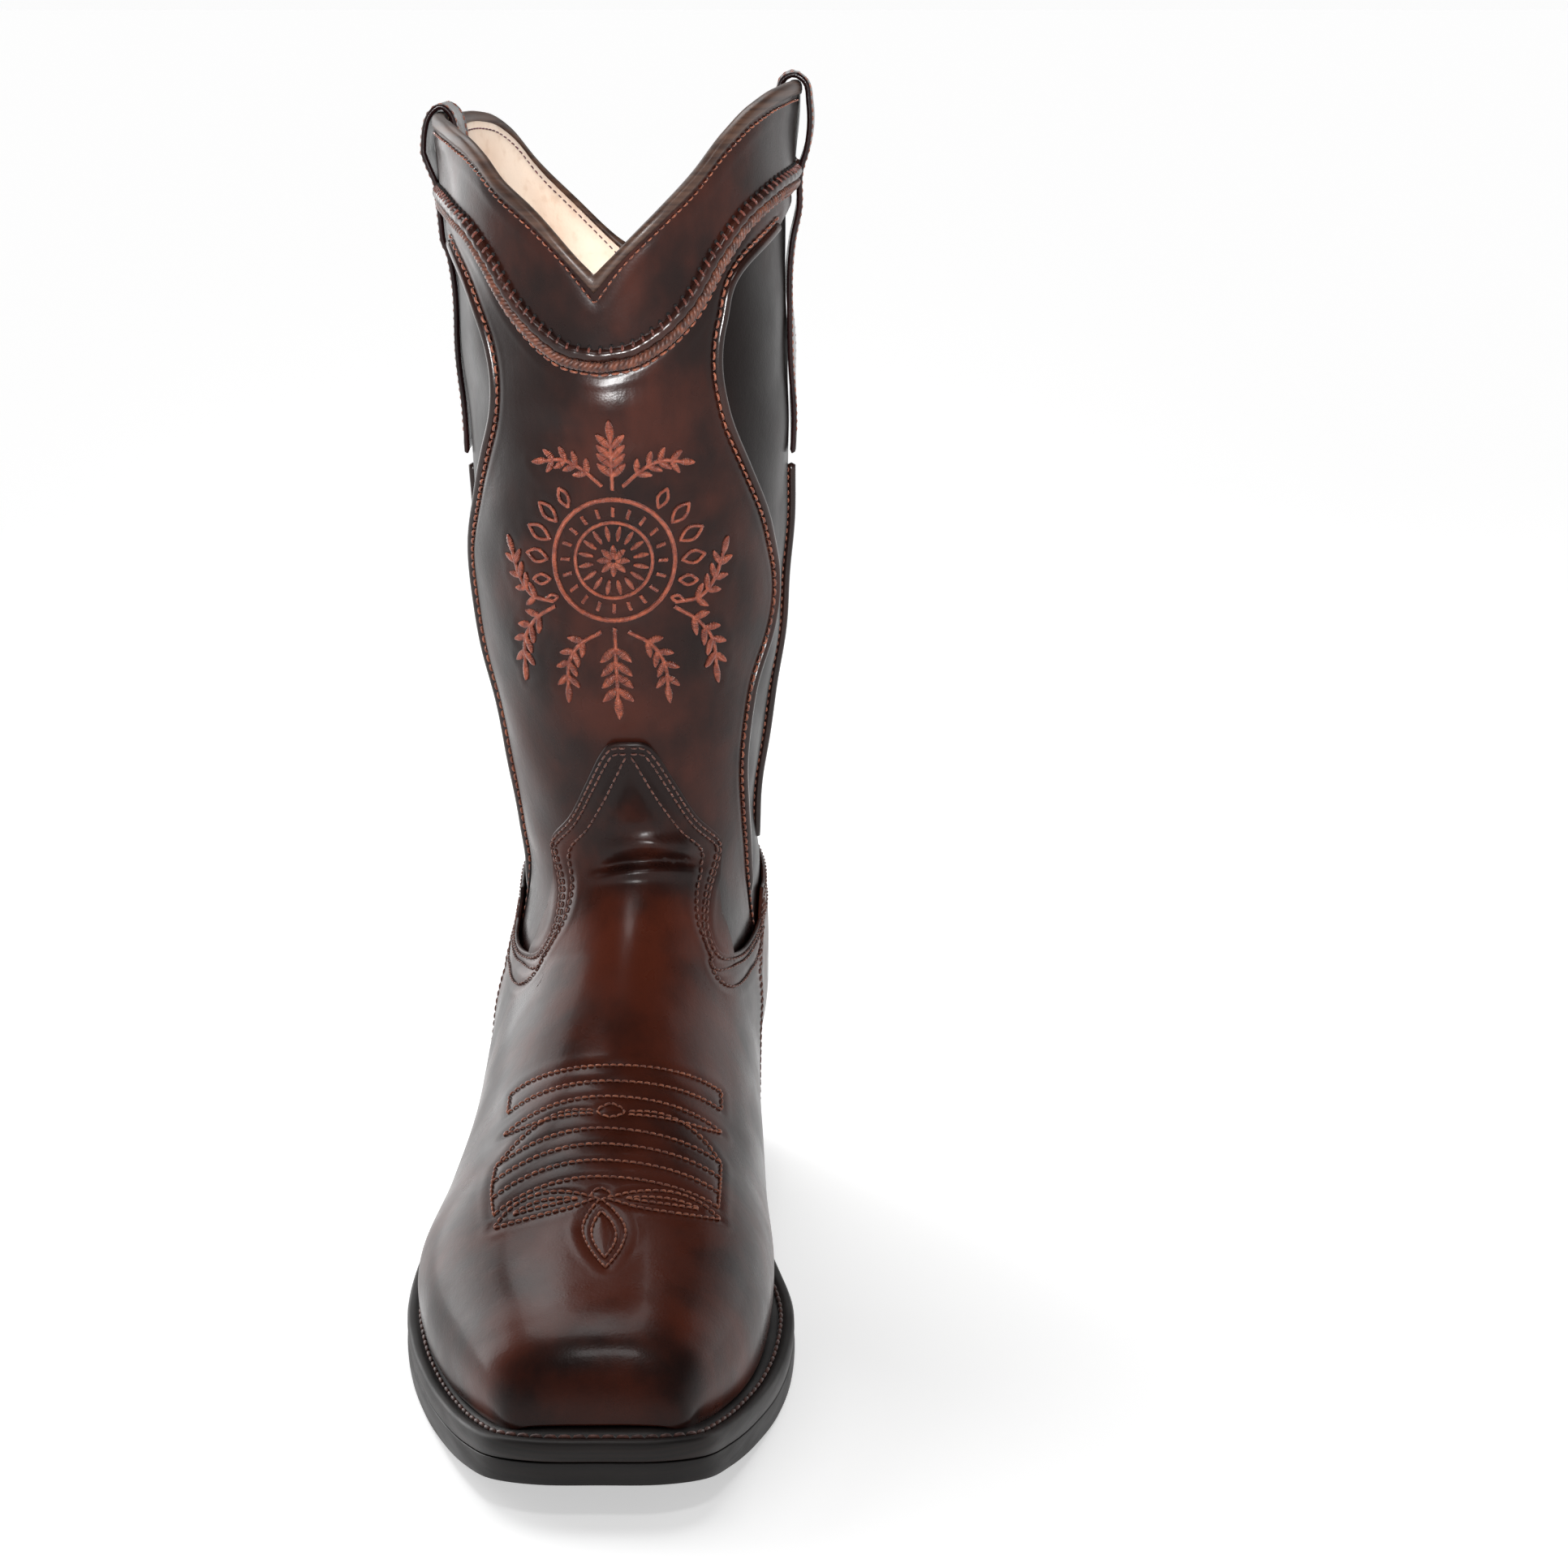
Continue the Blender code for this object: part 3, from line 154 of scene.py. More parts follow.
def closed_spline(points, per_span):
    """Centripetal spline round a closed outline."""
    points = np.asarray(points, float)
    count = len(points)
    spans = []
    for i in range(count):
        p = [points[(i + k) % count] for k in (-1, 0, 1, 2)]
        knots = np.cumsum([0] + [math.sqrt(np.linalg.norm(p[k + 1] - p[k])) for k in range(3)])
        x = np.linspace(knots[1], knots[2], per_span, endpoint=False)[:, None]

        def between(first, second, low, high):
            return ((knots[high] - x) * first + (x - knots[low]) * second) / (knots[high] - knots[low])

        a = [between(p[k], p[k + 1], k, k + 1) for k in range(3)]
        b = [between(a[k], a[k + 1], k, k + 2) for k in range(2)]
        spans.append(between(b[0], b[1], 1, 2))
    return np.vstack(spans)


def unit(vectors):
    return vectors / np.maximum(np.linalg.norm(vectors, axis=-1, keepdims=True), 1e-9)


def outward_2d(outline):
    """Outward normals of a closed outline."""
    along = np.roll(outline, -1, 0) - np.roll(outline, 1, 0)
    normal = unit(np.stack([along[:, 1], -along[:, 0]], 1))
    return normal if ((outline - outline.mean(0)) * normal).sum() > 0 else -normal


def inset(outline, margin):
    """Outline moved inward by a margin for each point."""
    return outline - outward_2d(outline) * np.broadcast_to(margin, len(outline))[:, None]


def outline_x(outline, y, side):
    """X of the outline at y, on the lateral (-1) or medial (+1) side."""
    first, last = outline[:, 1].argmin(), outline[:, 1].argmax()
    if side < 0:
        order = np.arange(first, last + (0 if last > first else len(outline)) + 1)
    else:
        order = np.arange(last, first + (0 if first > last else len(outline)) + 1)[::-1]
    run = outline[order % len(outline)]
    return np.interp(y, np.maximum.accumulate(run[:, 1]), run[:, 0])


def underside_z(y):
    return profile(UNDERSIDE_Y, UNDERSIDE_Z, y)


def outsole_top_z(y):
    return underside_z(y) + profile(STACK_Y, OUTSOLE_THICKNESS, y)


def feather_z(y):
    return underside_z(y) + profile(STACK_Y, STACK_Z, y)


OUTSOLE = closed_spline(SOLE_OUTLINE, 16)
FEATHER = inset(OUTSOLE, profile(FEATHER_Y, FEATHER_MARGIN, OUTSOLE[:, 1]))


def rib(t, side):
    """Points of one cross-section of the upper, evenly spaced from the top centre line round to its end."""
    front = np.array([spline(T, FRONT_Y, t), spline(T, FRONT_Z, t)])
    if t <= T_HEEL:
        back = np.array([spline(T[:HEEL_STATIONS], BACK_Y, t), spline(T[:HEEL_STATIONS], BACK_Z, t)])
    else:
        back_y = profile(T[HEEL_STATIONS - 1:], SOLE_LINE_Y, t)
        back = np.array([back_y, feather_z(back_y)])
    lateral, medial = spline(T, LATERAL_X, t), spline(T, MEDIAL_X, t)
    centre, half = (lateral + medial) / 2, (medial - lateral) / 2
    widest = profile(T, WIDEST, t)
    end = 0.0
    if t > T_HEEL:
        end = np.clip((outline_x(FEATHER, back[0], side) - centre) * side / half, 0, .995)
    angle = np.linspace(0, math.pi / 2, 120)
    p, q = 2 / profile(T, FRONT_POWER, t), 2 / profile(T, BACK_POWER, t)
    down = np.r_[widest * (1 - np.cos(angle) ** p), widest + (1 - widest) * np.sin(angle[1:]) ** q]
    out = np.r_[half * np.sin(angle) ** p, half * (end + (1 - end) * np.cos(angle[1:]) ** q)]
    line = np.column_stack([centre + side * out, front + np.outer(down, back - front)])
    return along_curve(line, U_HALF)


def along_curve(points, count):
    """The curve resampled to an even spacing by length."""
    points = np.asarray(points, float)
    length = np.r_[0, np.cumsum(np.linalg.norm(np.diff(points, axis=0), axis=1))]
    even = np.linspace(0, length[-1], count)
    return np.column_stack([np.interp(even, length, points[:, k]) for k in range(points.shape[1])])


def reference_surface():
    """Grid of points and unit normals over (t, u)."""
    levels = np.linspace(0, 10, T_ROWS)
    halves = {side: np.array([rib(t, side) for t in levels]) for side in (-1, 1)}
    points = np.concatenate([halves[-1][:, :0:-1], halves[1]], axis=1)
    around = np.gradient(points, axis=1)
    down = np.gradient(points, axis=0)
    closed = levels <= T_HEEL
    around[closed, 0] = around[closed, -1] = points[closed, 1] - points[closed, -2]
    normals = unit(np.cross(down, around))
    normals[closed, 0] = normals[closed, -1]
    return levels, points, level_near_sole(points, normals)


def level_near_sole(points, normals):
    """Turns the normals level where the upper comes down to the welt, so that layers stay above it."""
    outward = outward_2d(FEATHER)
    clear = points[..., 2] - feather_z(points[..., 1])
    low = clear < NORMALS_LEVEL_BELOW
    near = points[low]
    gap = ((near[:, None, :2] - FEATHER[None]) ** 2).sum(-1)
    level = np.column_stack([outward[gap.argmin(1)], np.zeros(len(near))])
    weight = smooth_step(10, 4, clear[low])[:, None]
    normals[low] = unit(normals[low] * (1 - weight) + level * weight)
    return normals


def smooth_step(start, end, x):
    """0 at start, 1 at end, smooth between; start may be the larger."""
    s = np.clip((np.asarray(x, float) - start) / (end - start), 0, 1)
    return s * s * (3 - 2 * s)


LEVELS, POINTS, NORMALS = reference_surface()


def lookup(table, t, u):
    """Value of a surface table at (t, u)."""
    t, u = np.broadcast_arrays(np.asarray(t, float), np.asarray(u, float))
    row = np.clip(t / 10 * (T_ROWS - 1), 0, T_ROWS - 1 - 1e-9)
    column = np.clip((u + 1) * (U_HALF - 1), 0, 2 * U_HALF - 2 - 1e-9)
    i, j = row.astype(int), column.astype(int)
    a, b = (row - i)[..., None], (column - j)[..., None]
    return ((1 - a) * (1 - b) * table[i, j] + (1 - a) * b * table[i, j + 1]
            + a * (1 - b) * table[i + 1, j] + a * b * table[i + 1, j + 1])


def wrapped(u):
    """Brings a u that has passed the back centre line onto the other side."""
    u = np.asarray(u, float)
    return np.where(u > 1, u - 2, np.where(u < -1, u + 2, u))


# Soft unevenness of worn-in leather: direction and length of each wave, its phase and its height.
WAVES = [((.9, .2, .4), 31, .3, .20), ((.2, .7, .7), 43, 1.7, .26), ((.6, -.5, .6), 23, 4.1, .12),
         ((-.4, .3, .9), 27, 2.2, .14), ((.8, .6, -.1), 57, 5.0, .22)]
# Bulges and dents as centre, radii and height.
DENTS = [((-3, 2, 257), (22, 30, 6.5), 1.5), ((-3, 2, 249), (18, 30, 5), -.6),
         ((26, 140, 250), (9, 30, 22), -.9), ((-22, 140, 262), (9, 30, 10), .9),
         ((-30, 128, 222), (5, 20, 30), -.9), ((34, 130, 178), (8, 24, 18), -1.1),
         ((-24, 132, 176), (7, 22, 16), -.8), ((6, 134, 160), (20, 20, 6), .7)]
# Fold across the tongue: its highest place, how fast it drops to both sides, and its three heights.
FOLD_X, FOLD_Z, FOLD_BOW = 9.0, 123.4, .014
RIDGE, VALLEY, LOWER_ROLL = 2.4, 1.8, 1.0


def relief(points):
    """Height of the leather above the reference surface: soft waves and dents and the ankle's fold."""
    x, y, z = points[..., 0], points[..., 1], points[..., 2]
    height = np.zeros(x.shape)
    for direction, length, phase, size in WAVES:
        way = unit(np.array(direction))
        height += size * np.sin(points @ way * 2 * math.pi / length + phase)
    upright = smooth_step(60, 110, z)
    height *= .35 + .65 * upright
    for centre, radii, size in DENTS:
        away = (((points - centre) / radii) ** 2).sum(-1)
        height += size * np.exp(-away)
    return height + ankle_fold(x, y, z)


def ankle_fold(x, y, z):
    """A rounded ridge, the sharp valley under it and a low roll, fading out toward the tongue's edges."""
    front = smooth_step(52, 30, y) * smooth_step(-8, 0, x) * smooth_step(26, 17, x)
    fold = FOLD_Z - FOLD_BOW * (x - FOLD_X) ** 2
    ridge = np.exp(-((z - fold - 5.4) / 3.2) ** 2) * (.3 + .8 * np.exp(-((x - 13) / 13) ** 2))
    valley = np.exp(-((z - fold) / 1.4) ** 2)
    lower = np.exp(-((z - fold + 3.2) / 1.6) ** 2)
    return front * (RIDGE * ridge - VALLEY * valley + LOWER_ROLL * lower)


def on_surface(t, u, offset=0.0):
    base = lookup(POINTS, t, u)
    normal = unit(lookup(NORMALS, t, u))
    return base + normal * (np.asarray(offset, float) + relief(base))[..., None]


def normal_at(t, u):
    return unit(lookup(NORMALS, t, u))


def t_at(u, z):
    """t at which the surface passes height z, down the line of constant u. Only for the shaft and ankle."""
    u, z = np.broadcast_arrays(wrapped(u), np.asarray(z, float))
    rows = LEVELS <= 5.2
    flat_u, flat_z = u.ravel(), z.ravel()
    column = np.clip((flat_u + 1) * (U_HALF - 1), 0, 2 * U_HALF - 2 - 1e-9)
    j = column.astype(int)
    b = column - j
    heights = POINTS[rows][:, :, 2]
    heights = heights[:, j] * (1 - b) + heights[:, j + 1] * b
    above = np.clip((heights > flat_z).sum(0), 1, rows.sum() - 1)
    picks = np.arange(len(flat_u))
    high, low = heights[above - 1, picks], heights[above, picks]
    share = np.clip((high - flat_z) / np.maximum(high - low, 1e-9), 0, 1)
    level = LEVELS[rows]
    return (level[above - 1] + share * (level[above] - level[above - 1])).reshape(u.shape)


def side_point(y, z, side):
    """(t, u) of the surface point seen at (y, z) from that side."""
    half = POINTS[:, U_HALF - 1:] if side > 0 else POINTS[:, U_HALF - 1::-1]
    target = np.array([y, z])
    i, j = np.unravel_index(((half[..., 1:] - target) ** 2).sum(-1).argmin(), half.shape[:2])
    i, j = min(max(i, 1), T_ROWS - 2), min(max(j, 1), U_HALF - 2)
    by_row = (half[i + 1, j, 1:] - half[i - 1, j, 1:]) / 2
    by_column = (half[i, j + 1, 1:] - half[i, j - 1, 1:]) / 2
    move = np.linalg.solve(np.column_stack([by_row, by_column]), target - half[i, j, 1:])
    move = np.clip(move, -1, 1)
    return (i + move[0]) * 10 / (T_ROWS - 1), side * (j + move[1]) / (U_HALF - 1)


# ---- materials --------------------------------------------------------------------------------------------
def linear(value):
    return value / 12.92 if value <= .0404 else ((value + .055) / 1.055) ** 2.4


def rgb(red, green, blue):
    """Linear colour from display values between 0 and 255."""
    return (*(linear(value / 255) for value in (red, green, blue)), 1)


class Nodes:
    """Small helper that adds and links shader nodes."""

    def __init__(self, name):
        self.material = bpy.data.materials.new(name)
        self.material.use_nodes = True
        self.tree = self.material.node_tree
        self.shader = self.tree.nodes["Principled BSDF"]
        self.place = self.add("ShaderNodeTexCoord").outputs["Object"]

    def add(self, kind, inputs=(), **settings):
        node = self.tree.nodes.new(kind)
        for key, value in settings.items():
            setattr(node, key, value)
        for key, value in dict(inputs).items():
            self.put(node.inputs[key], value)
        return node

    def put(self, socket, value):
        if isinstance(value, bpy.types.NodeSocket):
            self.tree.links.new(value, socket)
        else:
            socket.default_value = value

    def noise(self, scale, detail=2.0, stretch=(1, 1, 1)):
        scaled = self.add("ShaderNodeMapping", {"Vector": self.place, "Scale": stretch}).outputs["Vector"]
        inputs = {"Vector": scaled, "Scale": scale, "Detail": detail}
        return self.add("ShaderNodeTexNoise", inputs).outputs["Fac"]

    def cells(self, scale):
        inputs = {"Vector": self.place, "Scale": scale, "Smoothness": .4}
        return self.add("ShaderNodeTexVoronoi", inputs, feature="SMOOTH_F1").outputs["Distance"]

    def ramp(self, value, low, high, to_low=0.0, to_high=1.0):
        """Soft step from to_low to to_high while the value goes from low to high."""
        inputs = {"Value": value, "From Min": low, "From Max": high, "To Min": to_low, "To Max": to_high}
        return self.add("ShaderNodeMapRange", inputs, interpolation_type="SMOOTHSTEP").outputs["Result"]

    def math(self, kind, first, second):
        return self.add("ShaderNodeMath", {0: first, 1: second}, operation=kind).outputs["Value"]

    def mix(self, factor, first, second):
        node = self.add("ShaderNodeMix", data_type="RGBA")
        self.put(node.inputs[0], factor)
        self.put(node.inputs[6], first)
        self.put(node.inputs[7], second)
        return node.outputs[2]

    def tone(self):
        return self.add("ShaderNodeAttribute", attribute_name="tone").outputs["Fac"]

    def bump(self, height, strength, distance, under=None):
        inputs = {"Height": height, "Strength": strength, "Distance": distance * MM}
        node = self.add("ShaderNodeBump", inputs)
        if under is not None:
            self.put(node.inputs["Normal"], under)
        return node.outputs["Normal"]

    def finish(self, **sockets):
        for key, value in sockets.items():
            self.put(self.shader.inputs[key.replace("_", " ")], value)
        return self.material


PORE_DARK = (.004, .002, .002, 1)


def glossy_leather(name, dark, warm, rough=(.22, .34), coat=.06, grain=.10, shine=.17):
    """Burnished calf: two browns worn into each other, fine pores, a waxed top coat."""
    n = Nodes(name)
    patches = n.ramp(n.noise(34, 4), .32, .68, -.28, .28)
    streaks = n.ramp(n.noise(120, 3, (1, 1, .5)), .3, .7, -.12, .12)
    blend = n.math("ADD", n.math("ADD", n.tone(), patches), streaks)
    colour = n.mix(n.ramp(blend, -.15, 1.15), dark, warm)
    pores = n.cells(1500)
    colour = n.mix(n.ramp(pores, 0, .35, .25, 0), colour, PORE_DARK)
    roughness = n.ramp(n.noise(55, 4), .3, .7, *rough)
    normal = n.bump(n.noise(95, 3), .10, .9)
    normal = n.bump(n.noise(420, 3), .10, .30, normal)
    normal = n.bump(pores, grain, .16, normal)
    return n.finish(Base_Color=colour, Roughness=roughness, Normal=normal, Coat_Weight=coat,
                    Coat_Roughness=.1, Specular_IOR_Level=shine)


def lining_leather(name):
    n = Nodes(name)
    patches = n.ramp(n.noise(45, 5), .3, .7)
    colour = n.mix(patches, rgb(232, 206, 184), rgb(244, 226, 208))
    colour = n.mix(n.ramp(n.noise(260, 4), .52, .72, 0, .35), colour, rgb(212, 180, 152))
    normal = n.bump(n.noise(110, 4), .35, 1.0)
    normal = n.bump(n.cells(1100), .30, .22, normal)
    return n.finish(Base_Color=colour, Roughness=.72, Normal=normal, Sheen_Weight=.12, Sheen_Roughness=.5)


def thread(name, dark, light, gloss=.42):
    """Twisted polyester thread, darker where wax and dirt sit."""
    n = Nodes(name)
    colour = n.mix(n.ramp(n.noise(500, 2), .3, .7), dark, light)
    normal = n.bump(n.noise(2600, 2), .45, .12)
    return n.finish(Base_Color=colour, Roughness=gloss, Normal=normal, Sheen_Weight=.25, Sheen_Roughness=.4)


def waxed_edge(name, dark, light, rough=(.26, .42), lines=.25, coat=.15):
    """Cut leather layers, stained and waxed: fine lines run along the edge."""
    n = Nodes(name)
    layers = n.noise(9, 3, (1, 1, 90))
    scuffs = n.noise(40, 4, (1, 1, 3))
    colour = n.mix(n.ramp(n.math("ADD", layers, n.math("MULTIPLY", scuffs, .5)), .5, 1.0), dark, light)
    roughness = n.ramp(n.noise(30, 4, (1, 1, 6)), .3, .7, *rough)
    normal = n.bump(layers, lines, .25)
    normal = n.bump(n.noise(240, 3, (1, 1, 2)), .12, .3, normal)
    return n.finish(Base_Color=colour, Roughness=roughness, Normal=normal, Coat_Weight=coat,
                    Coat_Roughness=.3, Specular_IOR_Level=.3)


def matte_board(name, dark, light, scale=300, rough=.8):
    n = Nodes(name)
    colour = n.mix(n.ramp(n.noise(scale, 4), .35, .65), dark, light)
    return n.finish(Base_Color=colour, Roughness=rough, Normal=n.bump(n.noise(scale * 2, 3), .4, .3))


def metal(name, colour, rough, scratch=(1, 1, 1)):
    n = Nodes(name)
    marks = n.noise(200, 3, scratch)
    tint = n.mix(n.ramp(marks, .3, .7), colour, tuple(.7 * v for v in colour[:3]) + (1,))
    return n.finish(Base_Color=tint, Metallic=1.0, Roughness=n.ramp(marks, .3, .7, rough, rough + .15),
                    Normal=n.bump(marks, .15, .1))


MATERIALS = {
    "shaft": glossy_leather("shaft_leather", rgb(24, 12, 10), rgb(66, 30, 21)),
    "inset": glossy_leather("inset_leather", rgb(16, 9, 8), rgb(38, 17, 13), (.28, .38), coat=.03, shine=.09),
    "foot": glossy_leather("foot_leather", rgb(26, 14, 12), rgb(82, 35, 21), (.24, .36)),
    "cord": glossy_leather("cord_leather", rgb(30, 16, 13), rgb(60, 28, 19), (.18, .28), shine=.35),
    "strap": glossy_leather("strap_leather", rgb(22, 12, 13), rgb(44, 20, 19), (.2, .3), shine=.25),
    "binding": waxed_edge("binding_edge", rgb(44, 28, 22), rgb(78, 56, 45), (.34, .5), .1),
    "lining": lining_leather("lining_leather"),
    "stitch": thread("rust_thread", rgb(96, 46, 30), rgb(140, 78, 52)),
    "faint_stitch": thread("faint_thread", rgb(72, 38, 28), rgb(108, 64, 50)),
    "foot_stitch": thread("foot_thread", rgb(112, 56, 36), rgb(158, 90, 60)),
    "braid": thread("braid_thread", rgb(52, 25, 17), rgb(104, 57, 38), .5),
    "embroidery": thread("terracotta_thread", rgb(106, 43, 26), rgb(148, 72, 46), .36),
    "whip": thread("whip_thread", rgb(66, 28, 20), rgb(106, 50, 36), .36),
    "purple": thread("lining_thread", rgb(72, 34, 44), rgb(100, 52, 60)),
    "welt_thread": thread("welt_thread", rgb(58, 30, 24), rgb(96, 54, 42)),
    "sole": waxed_edge("sole_edge", rgb(11, 8, 8), rgb(23, 17, 15), (.42, .58), coat=0.0),
    "welt": waxed_edge("welt_edge", rgb(12, 8, 7), rgb(28, 18, 15), (.42, .58), coat=0.0),
    "heel": waxed_edge("heel_edge", rgb(24, 15, 13), rgb(46, 30, 25), (.24, .38), .3),
    "rand": waxed_edge("rand_edge", rgb(38, 23, 18), rgb(78, 50, 38), (.34, .46)),
    "rubber": matte_board("heel_rubber", rgb(22, 18, 17), rgb(34, 28, 26), 500, .62),
    "board": matte_board("fibre_board", rgb(150, 118, 88), rgb(188, 156, 122)),
    "cork": matte_board("cork", rgb(128, 84, 48), rgb(196, 148, 98), 260),
    "steel": metal("shank_steel", (.5, .51, .53, 1), .3, (1, 12, 1)),
    "brass": metal("nail_brass", (.62, .44, .18, 1), .28),
    # Near-black marks for the awl holes: painted shade inside the openings.
    "hole_shade": matte_board("awl_hole_shade", rgb(8, 5, 5), rgb(14, 9, 8), 600, .9),
}


# ---- meshes -----------------------------------------------------------------------------------------------
def piece(name, vertices, faces, material, nodes=(), tone=None):
    """One object of the boot, riding on its single body."""
    mesh = bpy.data.meshes.new(name)
    scaled = (np.asarray(vertices, float) + (SHIFT[0], SHIFT[1], 0)) * MM
    mesh.from_pydata(scaled.tolist(), [], faces)
    mesh.shade_smooth()
    values = np.zeros(len(scaled)) if tone is None else tone(np.asarray(vertices, float))
    mesh.attributes.new("tone", "FLOAT", "POINT").data.foreach_set("value", values.astype(np.float32))
    mesh.materials.append(MATERIALS[material])
    made = bpy.data.objects.new(name, mesh)
    bpy.context.scene.collection.objects.link(made)
    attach(made, "root")
    if nodes:
        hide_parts(*nodes)
    return made


def take_rows(grid, positions):
    """Rows of a grid at fractional positions."""
    low = np.minimum(positions.astype(int), len(grid) - 2)
    share = (positions - low).reshape((-1,) + (1,) * (grid.ndim - 1))
    return grid[low] * (1 - share) + grid[low + 1] * share


def rim_positions(grid, gap):
    """Row positions with one more row close to each end."""
    count = len(grid)
    first = np.linalg.norm(grid[1] - grid[0], axis=-1).mean()
    last = np.linalg.norm(grid[-1] - grid[-2], axis=-1).mean()
    near, far = min(.5, gap / first), min(.5, gap / last)
    return np.r_[0, near, np.arange(1, count - 1), count - 1 - far, count - 1]


def with_rim(points, normals, gap):
    rows = rim_positions(points, gap)
    points, normals = take_rows(points, rows), take_rows(normals, rows)
    columns = rim_positions(points.swapaxes(0, 1), gap)
    points = take_rows(points.swapaxes(0, 1), columns).swapaxes(0, 1)
    normals = take_rows(normals.swapaxes(0, 1), columns).swapaxes(0, 1)
    return points, unit(normals)


def border(rows, columns):
    """Indices round the edge of a grid, in order."""
    rim = [(0, j) for j in range(columns - 1)] + [(i, columns - 1) for i in range(rows - 1)]
    rim += [(rows - 1, j) for j in range(columns - 1, 0, -1)] + [(i, 0) for i in range(rows - 1, 0, -1)]
    return rim


def coarse_faces(rows, columns, step):
    """Faces of a grid's back, wide inside and meeting every point of its edge."""
    lines = list(range(0, rows - 1, step)) + [rows - 1]
    stakes = list(range(0, columns - 1, step)) + [columns - 1]
    faces = []
    for i0, i1 in zip(lines, lines[1:]):
        for j0, j1 in zip(stakes, stakes[1:]):
            top = [(i0, j) for j in range(j0, j1, 1 if i0 == 0 else j1 - j0)]
            right = [(i, j1) for i in range(i0, i1, 1 if j1 == columns - 1 else i1 - i0)]
            bottom = [(i1, j) for j in range(j1, j0, -1 if i1 == rows - 1 else j0 - j1)]
            left = [(i, j0) for i in range(i1, i0, -1 if j0 == 0 else i0 - i1)]
            faces.append(top + right + bottom + left)
    return faces


# How far the cut edge of a sheet is rounded, as shares of its thickness, and how wide at the most.
EDGE_OUTSIDE, EDGE_INSIDE, EDGE_ACROSS, EDGE_WIDEST = .32, .3, .4, .45


def shell(name, surface, normals, offsets, material, nodes=(), tone=None, seams=(), depth=.32, step=4):
    """Leather sheet over a fine grid: rounded cut edge, thread grooves, wide faces on its back."""
    inner, outer = offsets
    thickness = outer - inner
    points, normals = with_rim(surface, normals, min(EDGE_WIDEST, thickness * EDGE_ACROSS))
    rows, columns = points.shape[:2]
    rise = np.full((rows, columns), float(outer))
    fall = np.full((rows, columns), float(inner))
    edge = np.zeros((rows, columns), bool)
    edge[0] = edge[-1] = edge[:, 0] = edge[:, -1] = True
    rise[edge] -= EDGE_OUTSIDE * thickness
    fall[edge] += EDGE_INSIDE * thickness
    front = points + normals * rise[..., None]
    if len(seams):
        front -= normals * (groove(front, seams, depth) * ~edge)[..., None]
    back = points + normals * fall[..., None]
    number = {}
    vertices = list(front.reshape(-1, 3))
    for face in coarse_faces(rows, columns, step):
        for key in face:
            if key not in number:
                number[key] = len(vertices)
                vertices.append(back[key])
    index = np.arange(rows * columns).reshape(rows, columns)
    a, b, c, d = index[:-1, :-1], index[:-1, 1:], index[1:, 1:], index[1:, :-1]
    faces = np.stack([a, d, c, b], -1).reshape(-1, 4).tolist()
    faces += [[number[key] for key in face] for face in coarse_faces(rows, columns, step)]
    rim = border(rows, columns)
    for p, q in zip(rim, rim[1:] + rim[:1]):
        faces.append([int(index[p]), int(index[q]), number[q], number[p]])
    middle = (rows // 2, columns // 2)
    across = surface_turn(front, middle)
    if across @ normals[middle] < 0:
        faces = [face[::-1] for face in faces]
    return piece(name, vertices, faces, material, nodes, tone)


def surface_turn(grid, at):
    i, j = at
    return np.cross(grid[i + 1, j] - grid[i - 1, j], grid[i, j + 1] - grid[i, j - 1])


def groove(points, seams, depth):
    """Depth of the furrow that thread pulls into leather, with a slight swell beside it."""
    samples = np.vstack([along_curve(line, max(4, int(length_of(line) / .5))) for line in seams])
    tree = KDTree(len(samples))
    for k, place in enumerate(samples):
        tree.insert(place, k)
    tree.balance()
    away = np.array([tree.find(place)[2] for place in points.reshape(-1, 3)]).reshape(points.shape[:2])
    return (.6 * depth * np.exp(-(away / .6) ** 2) + .5 * depth * np.exp(-(away / 1.5) ** 2)
            - .3 * depth * np.exp(-((away - 3.0) / 1.2) ** 2))


def length_of(line):
    return np.linalg.norm(np.diff(line, axis=0), axis=1).sum()


def ring_faces(rings, corners):
    """Quads between closed rings of points laid one after another."""
    faces = []
    for i in range(rings - 1):
        for k in range(corners):
            a, b = i * corners + k, i * corners + (k + 1) % corners
            faces.append((a, b, b + corners, a + corners))
    return faces


def swept_faces(rings, corners):
    """Faces of a section carried along a path, with both ends shut."""
    last = (rings - 1) * corners
    ends = [tuple(range(corners))[::-1], tuple(last + k for k in range(corners))]
    return ring_faces(rings, corners) + ends


def tube(points, normals, radius, corners=10):
    """Vertices and faces of a round strand along a line; radius may vary along it."""
    points = np.asarray(points, float)
    along = unit(np.gradient(points, axis=0))
    across = unit(np.cross(along, normals))
    upright = np.cross(across, along)
    radius = np.broadcast_to(radius, len(points))[:, None, None]
    angle = np.arange(corners) * 2 * math.pi / corners
    ring = (points[:, None] + radius * (np.cos(angle)[None, :, None] * across[:, None]
                                        + np.sin(angle)[None, :, None] * upright[:, None]))
    tips = np.stack([points[0] - along[0] * radius[0, 0] * .5, points[-1] + along[-1] * radius[-1, 0] * .5])
    vertices = np.vstack([ring.reshape(-1, 3), tips])
    count = len(points)
    faces = ring_faces(count, corners)
    first, last = count * corners, count * corners + 1
    for k in range(corners):
        n = (k + 1) % corners
        faces.append((first, n, k))
        faces.append((last, (count - 1) * corners + k, (count - 1) * corners + n))
    return vertices, faces


def joined(parts):
    """Several (vertices, faces) as one."""
    vertices, faces, start = [], [], 0
    for points, polygons in parts:
        vertices.append(points)
        faces += [tuple(start + k for k in polygon) for polygon in polygons]
        start += len(points)
    return np.vstack(vertices), faces


